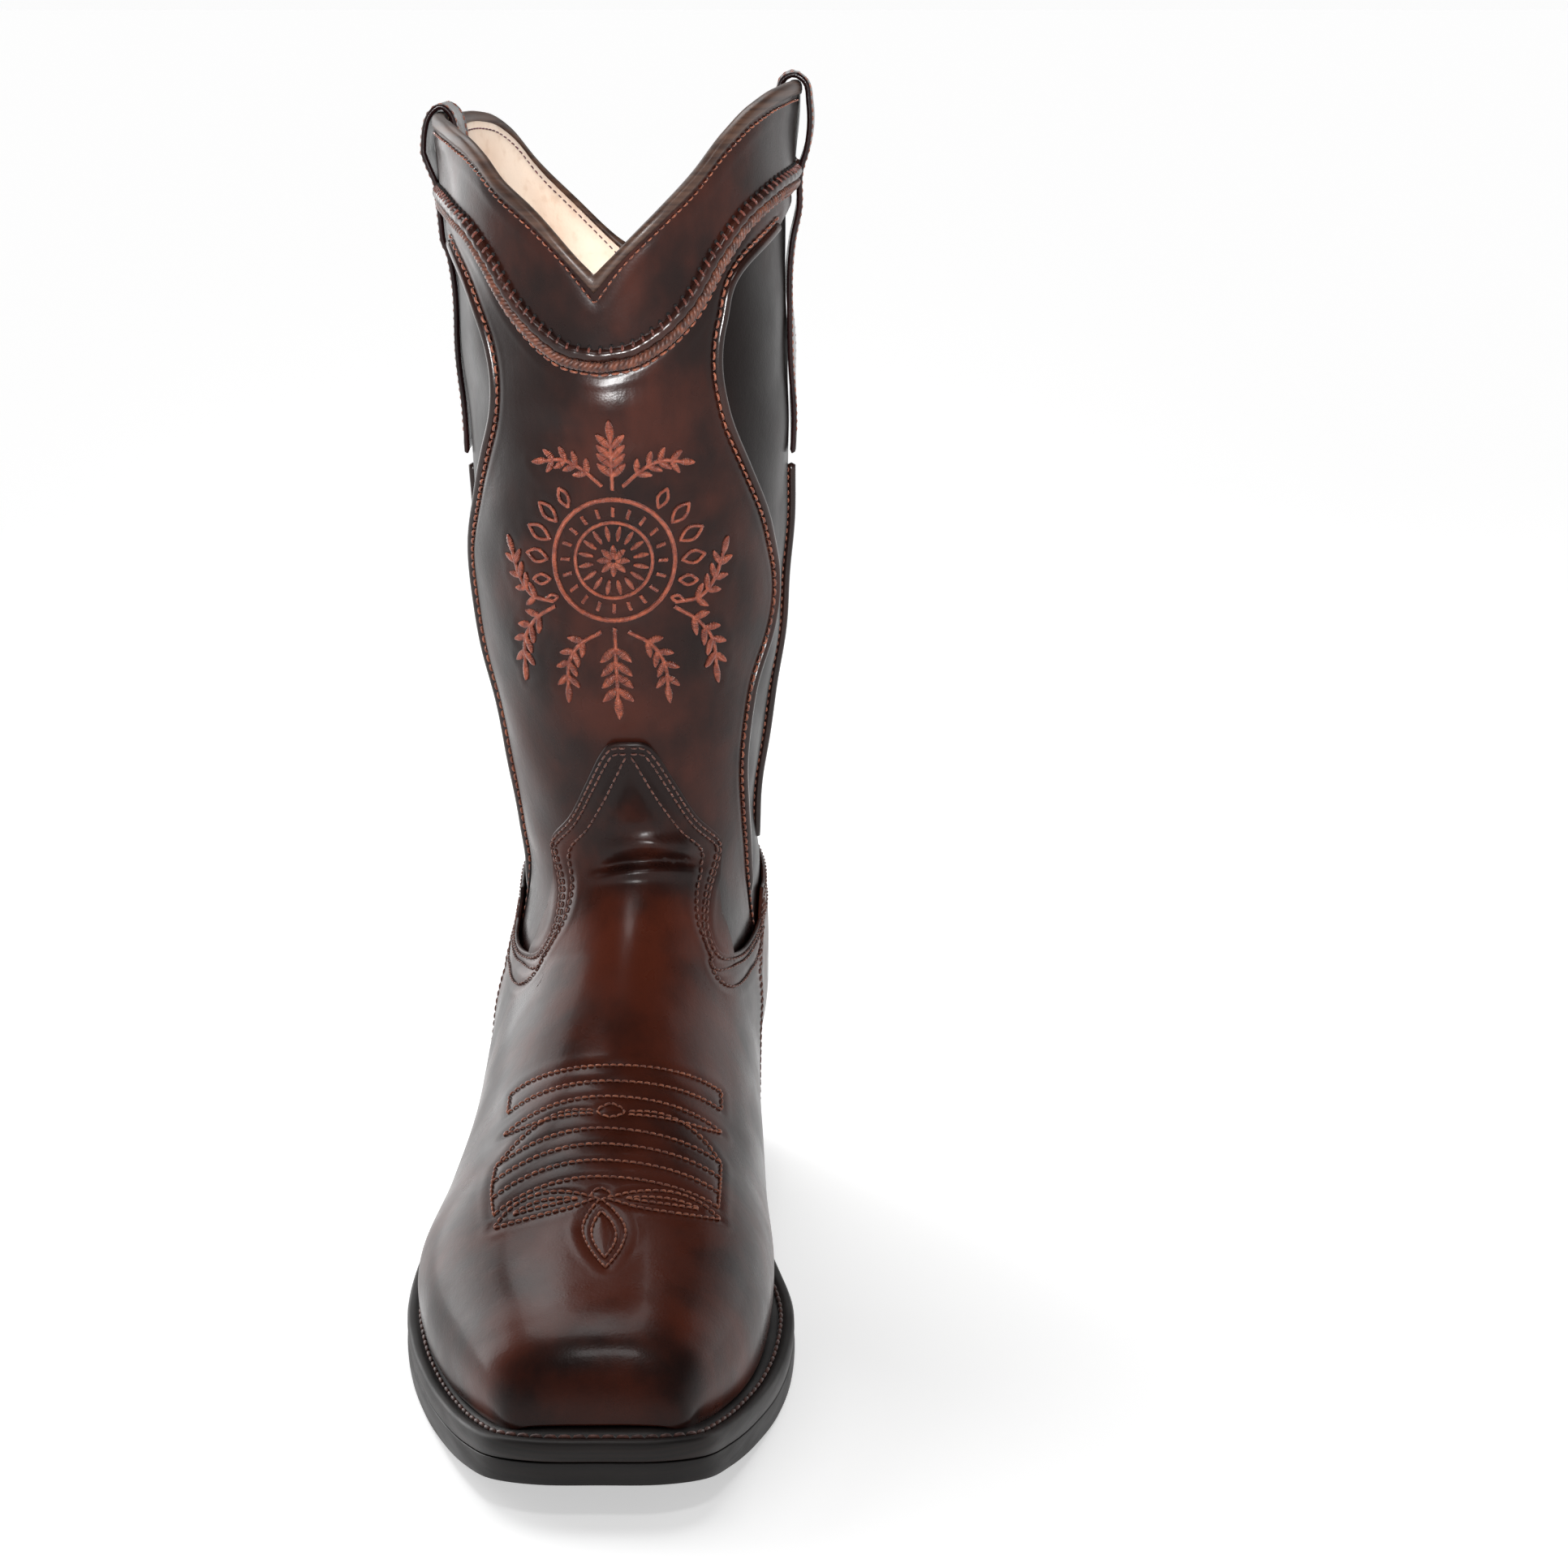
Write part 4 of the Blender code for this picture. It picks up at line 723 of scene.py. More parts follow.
def strand_faces(count, rings, corners):
    """Faces of many identical closed strands laid one after another."""
    faces = np.array(ring_faces(rings, corners))
    first = rings * corners
    ends = []
    for k in range(corners):
        n = (k + 1) % corners
        ends.append((first, n, k))
        ends.append((first + 1, (rings - 1) * corners + k, (rings - 1) * corners + n))
    ends = np.array(ends)
    starts = np.arange(count)[:, None, None] * (first + 2)
    return (faces[None] + starts).reshape(-1, 4).tolist() + (ends[None] + starts).reshape(-1, 3).tolist()


def strands(name, centres, normals, radii, material, corners=6):
    """Many short threads: centres is (count, rings, 3), normals (count, 3), radii a share for each ring."""
    count, rings = centres.shape[:2]
    along = unit(np.gradient(centres, axis=1))
    across = unit(np.cross(along, normals[:, None]))
    upright = np.cross(across, along)
    angle = np.arange(corners) * 2 * math.pi / corners
    radii = np.broadcast_to(radii, (count, rings))[..., None, None]
    ring = centres[:, :, None] + radii * (np.cos(angle)[:, None] * across[:, :, None]
                                          + np.sin(angle)[:, None] * upright[:, :, None])
    tips = np.stack([centres[:, 0] - along[:, 0] * .1, centres[:, -1] + along[:, -1] * .1], axis=1)
    vertices = np.concatenate([ring.reshape(count, -1, 3), tips], axis=1).reshape(-1, 3)
    return piece(name, vertices, strand_faces(count, rings, corners), material)


STITCH_SHAPE = np.array([(-.5, -.30, .55), (-.32, .10, 1), (0, .22, 1.05), (.32, .10, 1), (.5, -.30, .55)])


def stitch_centres(line, normals, pitch, length, lift):
    """Centre lines and normals of the stitches along one seam."""
    total = length_of(line)
    count = max(2, int(round(total / pitch)))
    run = np.r_[0, np.cumsum(np.linalg.norm(np.diff(line, axis=0), axis=1))]
    middles = (np.arange(count) + .5) * total / count
    where = middles[:, None] + STITCH_SHAPE[None, :, 0] * length * (total / count / pitch)
    places = np.stack([np.interp(where, run, line[:, k]) for k in range(3)], axis=-1)
    up = unit(np.stack([np.interp(middles, run, normals[:, k]) for k in range(3)], axis=-1))
    return places + up[:, None] * (STITCH_SHAPE[None, :, 1:2] + lift), up


def stitches(name, seams, material="stitch", pitch=2.4, length=1.9, radius=.3,
             lift=-.02):
    """Machine stitches along several seams, each seam a (line, normals) pair."""
    made = [stitch_centres(line, normals, pitch, length, lift) for line, normals in seams]
    centres = np.concatenate([m[0] for m in made])
    normals = np.concatenate([m[1] for m in made])
    return strands(name, centres, normals, STITCH_SHAPE[:, 2] * radius, material)


def even_tone(value):
    """The same warmth of colour all over a piece."""
    return lambda points: np.full(len(points), value)


def lathe_cord(name, points, normals, radius, material, nodes=(), tone=None, corners=12):
    vertices, faces = tube(points, normals, radius, corners)
    return piece(name, vertices, faces, material, nodes, tone)


def rope(name, points, normals, reach, radius, twist, material, nodes=(), strand_count=2):
    """Twisted strands wound round a line."""
    count = max(20, int(length_of(points) / .45))
    line = along_curve(points, count)
    up = unit(along_curve(np.column_stack([points, normals]), count)[:, 3:])
    along = unit(np.gradient(line, axis=0))
    across = unit(np.cross(along, up))
    run = np.linspace(0, length_of(points), count)
    parts = []
    for k in range(strand_count):
        angle = run * 2 * math.pi / twist + 2 * math.pi * k / strand_count
        centre = line + reach * (np.cos(angle)[:, None] * across + np.sin(angle)[:, None] * up)
        parts.append(tube(centre, up, radius, 8))
    vertices, faces = joined(parts)
    return piece(name, vertices, faces, material, nodes)


def coons(top, bottom, left, right):
    """(t, u) grid that fills four edge curves: rows run from top to bottom, columns from left to right."""
    rows, columns = len(left), len(top)
    i, j = np.linspace(0, 1, rows)[:, None, None], np.linspace(0, 1, columns)[None, :, None]
    corners = ((1 - i) * ((1 - j) * top[0] + j * top[-1])
               + i * ((1 - j) * bottom[0] + j * bottom[-1]))
    return (1 - i) * top[None] + i * bottom[None] + (1 - j) * left[:, None] + j * right[:, None] - corners


def curve_at(table, x):
    xs, ys = zip(*table)
    return profile(xs, ys, x)


def edge_u(table, z):
    """u of a panel edge at height z."""
    zs, us = zip(*table[::-1])
    return spline(zs, us, z)


def seam(t, u, offset):
    """A seam on the upper as (line, normals)."""
    u = wrapped(u)
    return on_surface(t, u, np.broadcast_to(offset, np.shape(u))), normal_at(t, u)


# ---- shaft ------------------------------------------------------------------------------------------------
EAR_DROP = 9.0
TRIM_DROP = 6.0
NOTCH_SHIFT = 0.021
TOP_ROW_DROP = 3.2
TOP_ROW_DIP = 1.2


def from_notch(u, back):
    """Distance round from the notch, which sits a little toward the lateral side at the front."""
    return np.abs(u) if back else np.abs(u + NOTCH_SHIFT * np.clip(1 - np.abs(u) / .5, 0, 1))


def top_z(u, back):
    """Height of the top edge: the lateral ear stands lower than the medial one."""
    start, end = (.2, .43) if back else (.08, .3)
    table = TOP_BACK if back else TOP_FRONT
    return curve_at(table, from_notch(u, back)) - EAR_DROP * smooth_step(start, end, -u)


def trim_z(u, back=False):
    return curve_at(TRIM, from_notch(u, back)) - TRIM_DROP * smooth_step(.1, .35, -u)


def top_row_z(u, back):
    """Height of the stitch row under the top edge, which dips a little at the notch."""
    dip = TOP_ROW_DIP * np.exp(-(from_notch(u, back) / .03) ** 2)
    return top_z(u, back) - TOP_ROW_DROP - dip


def side_level(z, side):
    """Heights near the trim line, lowered with it on the lateral side."""
    return z - TRIM_DROP * smooth_step(285, 310, z) * (side < 0)


def around(u, back):
    """Turns a u counted from the front or back centre line into the surface's own u."""
    return np.where(np.asarray(u) >= 0, 1 - np.abs(u), np.abs(u) - 1) if back else np.asarray(u)


SIDE_U = 0.4975
QUARTER_TURN = 100.0
PANEL_END_U = 0.42


def top_columns(back, count=181):
    """Columns of the pieces along the top edge, with one exactly at the notch."""
    columns = np.linspace(-SIDE_U, SIDE_U, count)
    return columns if back else columns - NOTCH_SHIFT * (1 - np.abs(columns) / .5)


def shaft_surface(columns, rows_z, back):
    u = np.broadcast_to(around(columns, back), rows_z.shape)
    t = t_at(u, rows_z)
    return on_surface(t, u), normal_at(t, u)


def shaft_line(u, z, back, offset):
    surface_u = around(u, back)
    return seam(t_at(surface_u, z), surface_u, offset)


def shaft_tone(points):
    x, z = points[:, 0], points[:, 2]
    warm = np.exp(-((x - 4) / 26) ** 2) * (.22 + .3 * smooth_step(215, 165, z) * smooth_step(112, 140, z))
    return .12 + warm - .14 * np.exp(-((z - 277) / 14) ** 2)


def collar(side_name, back):
    columns = top_columns(back)
    top = top_z(columns, back)
    bottom = trim_z(columns, back) - .6
    share = np.linspace(0, 1, 34)[:, None]
    points, normals = shaft_surface(columns, top * (1 - share) + bottom * share, back)
    u = np.linspace(-.44, .44, 161)
    row = shaft_line(u, top_row_z(u, back), back, COLLAR[1])
    shell(f"collar_{side_name}_leather", points, normals, COLLAR, "shaft",
          [f"collar_{side_name}"], shaft_tone, [row[0]])
    return row


PANEL_ROWS = np.concatenate([np.linspace(313, 270, 40), np.linspace(268.5, 98, 122)])


def edge_levels(table, low, side, back):
    """Where each row of a panel meets its edge: u there, and the share of the way down from the trim line."""
    levels = side_level(PANEL_ROWS, side)
    u = np.minimum(edge_u(table, np.minimum(levels, table[0][0])), PANEL_END_U)
    top = trim_z(side * u, back) - .5
    share = (top - levels) / (top - low(u))
    return np.r_[PANEL_END_U, u, edge_u(table, 90.0)], np.r_[0, share, 1]


def shaft_panel(side_name, left_edge, right_edge, low, back, seams):
    """Front or back panel between its two shaped edges, tucked under the collar and the foot."""
    left_u, left_share = edge_levels(left_edge, low, -1, back)
    right_u, right_share = edge_levels(right_edge, low, 1, back)
    across = np.linspace(-1, 1, 121)
    blend = (across + 1) / 2
    u = np.where(across < 0, left_u[:, None] * across, right_u[:, None] * across)
    share = left_share[:, None] * (1 - blend) + right_share[:, None] * blend
    top = trim_z(u, back) - .5
    z = top - share * (top - low(u))
    surface_u = around(u, back)
    t = t_at(surface_u, z)
    shell(f"{side_name}_panel_leather", on_surface(t, surface_u), normal_at(t, surface_u), PANEL, "shaft",
          [f"{side_name}_panel"], shaft_tone, seams)


def front_low(u):
    """Lower edge of the front panel, tucked under the vamp."""
    return curve_at([(0, 150), (.08, 139), (.16, 114), (.22, 90), (.3, 84.5), (.38, 86), (.5, 92)], np.abs(u))


def back_low(u):
    """Lower edge of the back panel, tucked under the counter."""
    return curve_at([(0, 130), (.13, 124), (.2, 113), (.27, 102.5), (.34, 99), (.5, 99)], np.abs(u))


def side_panel(side_name, side):
    """Plain inset between the two panels, running under both edges, the foot and the collar."""
    heights = side_level(np.linspace(306, 88, 150), side)
    front = edge_u(EDGE_MEDIAL if side > 0 else EDGE_LATERAL, heights) - .02
    back = 1 - edge_u(EDGE_BACK, heights) + .02
    share = np.linspace(0, 1, 71)[None, :]
    u = front[:, None] * (1 - share) + back[:, None] * share
    z = np.repeat(heights[:, None], 71, axis=1)
    gap_top = trim_z(side * np.where(u[0] < .5, u[0], 1 - u[0])) - 1
    rise = np.clip(1 - (heights[0] - heights) / 20, 0, 1)[:, None]
    z = z + rise * (gap_top - heights[0])[None, :] * np.sin(math.pi * share) ** .6
    t = t_at(side * u, z)
    rise = 2.6 * smooth_step(126, 106, z)
    surface, normals = on_surface(t, side * u, rise), normal_at(t, side * u)
    shell(f"side_panel_{side_name}_leather", surface, normals, SIDE_PANEL, "inset",
          [f"side_panel_{side_name}"])


def shaft_lining(side_name, back):
    columns = top_columns(back, 121)
    top = top_z(columns, back)
    trim = trim_z(columns, back)
    low = 106.0 if back else 112.0
    share = np.linspace(0, 1, 12)[:, None]
    upper = top * (1 - share) + (trim - 3) * share
    share = np.linspace(.03, 1, 70)[:, None]
    z = np.vstack([upper, (trim - 3) * (1 - share) + low * share])
    u = np.broadcast_to(around(columns, back), z.shape)
    t = t_at(u, z)
    t = np.vstack([t] + [np.full(len(columns), level) for level in np.linspace(4.0, 4.55, 8)])
    u = np.vstack([u, u[:8]])
    height = np.full(t.shape[0], 0.0)
    height[:12] = LINING_RISE * smooth_step(11, 4, np.arange(12))
    base, normals = on_surface(t, u), normal_at(t, u)
    base = base + normals * height[:, None, None]
    shell(f"shaft_lining_{side_name}_leather", base, normals, SHAFT_LINING, "lining",
          [f"shaft_lining_{side_name}"])
    edge = np.linspace(-.46, .46, 121)
    line, up = shaft_line(edge, top_row_z(edge, back), back, SHAFT_LINING[0] + LINING_RISE)
    return line, -up


TRIM_REACH = 0.43


def beside_trim(distance, back):
    """(u, z) of a line that runs a set distance above (+) or below (-) the collar trim line."""
    u = np.linspace(-TRIM_REACH, TRIM_REACH, 241)
    flat = np.column_stack([u * QUARTER_TURN * 2, trim_z(u, back)])
    along = unit(np.gradient(flat, axis=0))
    moved = flat + distance * np.column_stack([-along[:, 1], along[:, 0]])
    even = along_curve(moved, 161)
    return even[:, 0] / (QUARTER_TURN * 2), even[:, 1]


def trim_line(distance, back, offset):
    u, z = beside_trim(distance, back)
    return shaft_line(u, z, back, offset)


def collar_trim(side_name, back):
    """Rolled bead with whip stitches over its upper edge and a braid along its lower edge."""
    bead, up = trim_line(.9, back, .9)
    swell = 1.75 + .14 * np.sin(np.arange(len(bead)) * 1.9)
    lathe_cord(f"collar_bead_{side_name}", bead, up, swell, "cord",
               [f"collar_cord_{side_name}"], even_tone(.3))
    line, up = trim_line(-2.2, back, .9)
    rope(f"collar_braid_{side_name}_rope", line, up, .78, .72, 4.2, "braid",
         [f"collar_braid_{side_name}"], 3)
    whip(f"collar_whip_{side_name}", back)
    return trim_line(-4.5, back, .05)


def whip(name, back):
    """Short threads that cross the bead's upper side, each going into its own awl hole."""
    high, up = trim_line(3.1, back, .55)
    low, _ = trim_line(1.5, back, 2.3)
    count = int(length_of(high) / 3.0)
    both = along_curve(np.column_stack([high, low, up]), count * 2)
    places, ends, normals = both[::2, :3], both[::2, 3:6], unit(both[::2, 6:])
    share = np.array([0, .25, .5, .75, 1])[None, :, None]
    arch = np.array([-.35, .25, .5, .4, -.2])[None, :, None]
    centres = places[:, None] * (1 - share) + ends[:, None] * share + normals[:, None] * arch
    strands(name, centres, normals, np.array([.6, 1, 1.05, 1, .6]) * .38, "whip")
    # Each awl hole is a small dark mark lying on the leather: painted shade where the opening is.
    along = unit(np.gradient(places, axis=0))
    lengthwise = np.array([-.55, -.28, 0, .28, .55])[None, :, None]
    hole_shade_marks = (places + normals * .02)[:, None] + along[:, None] * lengthwise
    strands(f"{name}_holes", hole_shade_marks, normals, np.array([.2, .5, .62, .5, .2]), "hole_shade")


def panel_trim(name, table, side, back, low):
    """Rolled bead along a panel's edge, and the stitch row beside it."""
    z = side_level(np.linspace(303.5, low, 190), side)
    u = edge_u(table, z)
    sink = -.1 - 1.2 * smooth_step(low + 16, low + 6, z)
    line, up = shaft_line(side * (u - .007), z, back, sink)
    lathe_cord(f"{name}_bead", line, up, 1.45, "cord", [name], even_tone(.15))
    flat = along_curve(np.column_stack([u * 2 * QUARTER_TURN, z]), 190)
    along = unit(np.gradient(flat, axis=0))
    moved = flat + 3.1 * np.column_stack([along[:, 1], -along[:, 0]]) * (1 if along[:, 1].mean() < 0 else -1)
    return shaft_line(side * moved[:, 0] / (2 * QUARTER_TURN), moved[:, 1], back, .04)


def side_piping(side_name, side):
    z = np.linspace(231, 116, 90)
    u = np.full(90, side * .5)
    line, up = seam(t_at(u, z), u, -1.2)
    lathe_cord(f"side_piping_{side_name}", line, up, 1.3, "cord",
               [f"side_seam_piping_{side_name}"])
    rows = []
    for beside in (-.014, .014):
        v = np.full(90, side * (.5 + beside))
        rows.append(seam(t_at(v, z), v, SIDE_PANEL[1]))
    return rows


def top_binding(side_name, back):
    """Folded edge strip that sits on the top edges of the collar and lining."""
    u_line = top_columns(back)
    z = top_z(u_line, back)
    u = around(u_line, back)
    notch = 1.0 + .55 * np.exp(-(from_notch(u_line, back) / .02) ** 2)
    section = [(.75, -1.6), (.95, -.6), (.9, .6), (.5, 1.5), (-.3, 2.0), (-1.2, 2.05), (-2.1, 1.9),
               (-2.7, 1.3), (-2.95, .4), (-2.85, -1.0), (-2.3, -1.2), (-1.4, .2), (-.4, .2), (.3, -1.2)]
    rings = []
    for offset, rise in section:
        v = z + rise * (notch if rise > 0 else 1)
        rings.append(on_surface(t_at(u, v), u, np.full(len(u), offset)))
    rings = np.stack(rings, axis=1)
    piece(f"top_binding_{side_name}_strip", rings.reshape(-1, 3), swept_faces(*rings.shape[:2]), "binding",
          [f"top_binding_{side_name}"])


STRAP_PATH = [(-.6, 236), (-.6, 262), (-.6, 290), (.2, 298), (1.9, 307), (2.1, 318), (3.6, 324), (4.1, 330),
              (3.5, 337), (1.9, 343.2), (-1.3, 344.9), (-4.2, 343.4), (-5.6, 338), (-6.0, 326), (-6.6, 319),
              (-7.0, 313)]
STRAP_ROWS = 150
STRAP_COLUMNS = 25
STRAP_HALF_U = 0.058


def smooth_path(path, count):
    path = np.asarray(path, float)
    steps = np.r_[0, np.cumsum(np.linalg.norm(np.diff(path, axis=0), axis=1))]
    even = np.linspace(0, steps[-1], count)
    return np.column_stack([spline(steps, path[:, k], even) for k in range(path.shape[1])])


def pull_strap(side_name, side):
    """Leather loop sewn outside the shaft, carried over the ear and sewn inside."""
    path = smooth_path(STRAP_PATH, STRAP_ROWS)
    if side < 0:
        outside = np.arange(len(path)) < 95
        path[outside, 0] = np.minimum(path[outside, 0], 1.3)
        path[:, 1] -= EAR_DROP * smooth_step(290, 312, path[:, 1])
        path[:, 0] = np.convolve(np.pad(path[:, 0], 4, mode="edge"), np.ones(9) / 9, "valid")
    along = unit(np.gradient(path, axis=0))
    across = np.column_stack([along[:, 1], -along[:, 0]])
    columns = side * np.linspace(.5 - STRAP_HALF_U, .5 + STRAP_HALF_U, STRAP_COLUMNS)
    u = np.broadcast_to(columns, (STRAP_ROWS, STRAP_COLUMNS))

    def face(shift):
        line = path + shift * across
        z = np.repeat(line[:, 1:], STRAP_COLUMNS, axis=1)
        return on_surface(t_at(u, z), u, np.repeat(line[:, :1], STRAP_COLUMNS, axis=1))

    middle = face(0)
    normals = unit(face(.8) - face(-.8))
    rows = []
    for column in (2, 22):
        rows.append((middle[6:-6, column] + normals[6:-6, column] * .8, normals[6:-6, column]))
    shell(f"pull_strap_{side_name}_leather", middle, normals, (-.8, .8), "strap",
          [f"pull_strap_{side_name}"], even_tone(.25), [row[0] for row in rows], .2, 2)
    return rows


# ---- foot -------------------------------------------------------------------------------------------------
def low_u(t, side):
    """u at which a cross-section comes down to the clearance above the welt."""
    share = np.linspace(.3, 1, 400)
    points = lookup(POINTS, t, side * share)
    clear = points[:, 2] - feather_z(points[:, 1])
    under = np.nonzero(clear < WELT_CLEARANCE)[0]
    if not len(under):
        return 1.0
    k = under[0]
    part = (clear[k - 1] - WELT_CLEARANCE) / (clear[k - 1] - clear[k])
    return share[k - 1] + part * (share[k] - share[k - 1])


ACROSS_HALF = [0, .09, .18, .27, .36, .45, .54, .62, .7, .77, .84, .9, .94, .97, 1]
FOREPART_START = 6.45


def both_ways(half):
    return np.r_[-half[:0:-1], half]


def across_columns(density):
    """Column positions from the lateral to the medial side, denser toward the welt."""
    where = np.linspace(0, len(ACROSS_HALF) - 1, (len(ACROSS_HALF) - 1) * density + 1)
    return where, profile(range(len(ACROSS_HALF)), ACROSS_HALF, where)


def forepart_rows(across, count):
    """(t, u) rows from behind the ball to the front of the toe, ending just above the welt."""
    t = np.concatenate([np.linspace(FOREPART_START, 9.1, count)[:-1], np.linspace(9.1, 9.9, count // 4)])
    lateral = np.array([low_u(v, -1) for v in t])[:, None]
    medial = np.array([low_u(v, 1) for v in t])[:, None]
    u = np.where(across < 0, lateral * across, medial * across)
    return np.broadcast_to(t[:, None], u.shape), u


def seam_curve(side, start=None, shift=0.0, count=9):
    """Side seam between vamp and counter, from its top down to just above the welt, as (t, u)."""
    line = along_curve(SIDE_SEAM, 30)
    line[:, 0] += shift
    points = np.array([side_point(y, z, side) for y, z in line])
    last_t = FOREPART_START - shift * .012
    points = np.vstack([points[:-1], np.array([last_t, side * low_u(last_t, side)])])
    if start is not None:
        keep = points[:, 0] > start + .05
        u = np.interp(start, points[:, 0], points[:, 1])
        points = np.vstack([[start, u], points[keep]])
    return along_curve(points * (1, 4), count) / (1, 4)


def foot_front(top, left, right, across, rows):
    """(t, u) grid over the instep and toe: a shaped upper part joined to the forepart rows."""
    t, u = forepart_rows(across, rows)
    first = np.stack([t[0], u[0]], axis=-1)
    grid = coons(top, first, left, right)
    return np.vstack([grid[:-1, :, 0], t]), np.vstack([grid[:-1, :, 1], u])


def tongue_half(where):
    u, z = (np.array(v, float) for v in zip(*TONGUE))
    return spline(range(len(u)), u, where), spline(range(len(z)), z, where)


def vamp_tone(points):
    x, y, z = points.T
    warm = .68 * np.exp(-((x - 5) / 27) ** 2) * smooth_step(119, 106, z) * smooth_step(-134, -118, y)
    warm += .16 * smooth_step(-60, -100, y)
    neck = .22 * np.exp(-((x - 8) / 15) ** 2) * np.exp(-((z - 126) / 7) ** 2)
    toe_front = smooth_step(-127, -134, y)
    return .16 + warm + neck - .1 * toe_front


def vamp(seams):
    where, half = across_columns(9)
    across = both_ways(half)
    left, right = seam_curve(-1, count=110), seam_curve(1, count=110)
    u, z = tongue_half(where)
    u, z = both_ways(u), np.r_[z[:0:-1], z]
    top = np.column_stack([t_at(u, z), u])
    top[0], top[-1] = left[0], right[0]
    t, u = foot_front(top, left, right, across, 118)
    shell("vamp_leather", on_surface(t, u), normal_at(t, u), COVER, "foot", ["vamp"],
          vamp_tone, [line for line, _ in seams], .34)


def vamp_lining():
    _, half = across_columns(3)
    across = both_ways(half)
    left, right = seam_curve(-1, start=4.45, count=40), seam_curve(1, start=4.45, count=40)
    share = (across[:, None] + 1) / 2
    t, u = foot_front(left[0] * (1 - share) + right[0] * share, left, right, across, 48)
    shell("vamp_lining_leather", on_surface(t, u), normal_at(t, u), FOOT_LINING, "lining",
          ["vamp_lining"])


def beside_curve(points, distance):
    """A flat curve moved sideways; positive is to the right of its direction."""
    along = unit(np.gradient(points, axis=0))
    return points + distance * np.column_stack([along[:, 1], -along[:, 0]])


INNER_TONGUE = [(.004, 156.2), (.012, 154), (.022, 150.5), (.05, 142), (.09, 132.5), (.128, 126.6),
                (.14, 122.2), (.126, 114), (.124, 107), (.138, 101), (.178, 92.2), (.24, 85.6), (.32, 81.6),
                (.4, 82.4), (.455, 89)]


def tongue_seams():
    """Two rows that follow the tongue's edge and a third that runs further in."""
    where = np.linspace(0, len(TONGUE) - 1.35, 240)
    u, z = tongue_half(where)
    half = np.column_stack([u * 2 * QUARTER_TURN, z])
    rows = []
    for side in (-1, 1):
        for distance in (1.5, 3.3):
            moved = beside_curve(half, distance)
            moved = moved[moved[:, 0] > .3]
            v = side * moved[:, 0] / (2 * QUARTER_TURN)
            rows.append(seam(t_at(v, moved[:, 1]), v, COVER[1]))
        steps = range(len(INNER_TONGUE))
        us, zs = zip(*INNER_TONGUE)
        fine = np.linspace(0, len(INNER_TONGUE) - 1, 200)
        v = side * spline(steps, us, fine)
        rows.append(seam(t_at(v, spline(steps, zs, fine)), v, COVER[1]))
    return rows


def toe_point(a, b):
    """(t, u) of a place in the toe stitching: a is -1 lateral to 1 medial, b counts rows downward."""
    a, b = np.broadcast_arrays(np.asarray(a, float), np.asarray(b, float))
    centre = .01 + .003 * b
    lateral, medial = -.312 - .0014 * b, .332 + .0125 * b
    u = centre + np.where(a < 0, (centre - lateral) * a, (medial - centre) * a)
    bow = np.where(a < 0, .20 + .01 * b, .14 - .009 * b)
    t = 6.15 + .175 * np.minimum(b, 9.2) + .149 * np.maximum(b - 9.2, 0)
    return t + bow * a * a, u


def toe_line(points, smooth=True, mirrored=False):
    """Seam through (a, b) places of the toe stitching."""
    points = np.asarray(points, float) * ((-1, 1) if mirrored else (1, 1))
    path = smooth_path(points * (4.5, 1), 60) / (4.5, 1) if smooth else along_curve(points, 60)
    return seam(*toe_point(path[:, 0], path[:, 1]), COVER[1])


# Toe stitching on one side of the centre line, as (a, b) places: straight ends, then curves.
TOE_ENDS = [[(1, 0), (1, 1)], [(1, 4.1), (1, 7.1)]]
TOE_CURVES = [
    [(1, 2.25), (.8, 2.62), (.55, 2.86), (.32, 3.0), (.13, 3.1)],
    [(.13, 2.9), (.34, 2.72), (.56, 2.86), (.78, 3.3), (1, 4.1)],
    [(.05, 8.3), (.3, 7.75), (.6, 7.35), (.85, 7.4), (1.03, 7.75)],
    [(.05, 8.35), (.3, 8.7), (.6, 8.6), (.85, 8.2), (1.03, 7.75)],
    [(.2, 8.25), (.4, 7.98), (.62, 7.78), (.82, 7.78)],
    [(.2, 8.25), (.42, 8.27), (.62, 8.1), (.82, 7.82)],
    [(0, 8.35), (.1, 9.0), (.19, 10.2), (.16, 11.4), (.07, 12.5), (0, 13.1)],
    [(0, 9.1), (.06, 9.6), (.11, 10.5), (.09, 11.4), (.03, 12.1), (0, 12.4)],
    [(0, 2.45), (.08, 2.75), (.1, 3.0), (.05, 3.25), (0, 3.35)],
    [(0, 7.7), (.07, 7.95), (.08, 8.15), (0, 8.45)],
]


def toe_seams():
    """Rows of arcs, pointed leaves, a small loop and a drop across the toe."""
    full = np.linspace(-1, 1, 9)
    rows = [toe_line([(a, b) for a in full]) for b in (0, 1.0, 4.06, 5.04, 6.04, 7.04)]
    rows.append(toe_line([(a, 2.0 + .25 * a * a) for a in full]))
    for mirrored in (False, True):
        rows += [toe_line(points, False, mirrored) for points in TOE_ENDS]
        rows += [toe_line(points, True, mirrored) for points in TOE_CURVES]
    return rows


HEEL_AXIS = (4.5, 100.0)
HEEL_SEARCH = (0, .2, .4, .7, 1.0, 1.4, 2.0, 3.0)


def surface_tree():
    rows, columns = POINTS.shape[:2]
    index = np.arange(rows * columns).reshape(rows, columns)
    quads = np.stack([index[:-1, :-1], index[:-1, 1:], index[1:, 1:], index[1:, :-1]], -1).reshape(-1, 4)
    return BVHTree.FromPolygons(POINTS.reshape(-1, 3).tolist(), quads.tolist())


SURFACE_TREE = surface_tree()


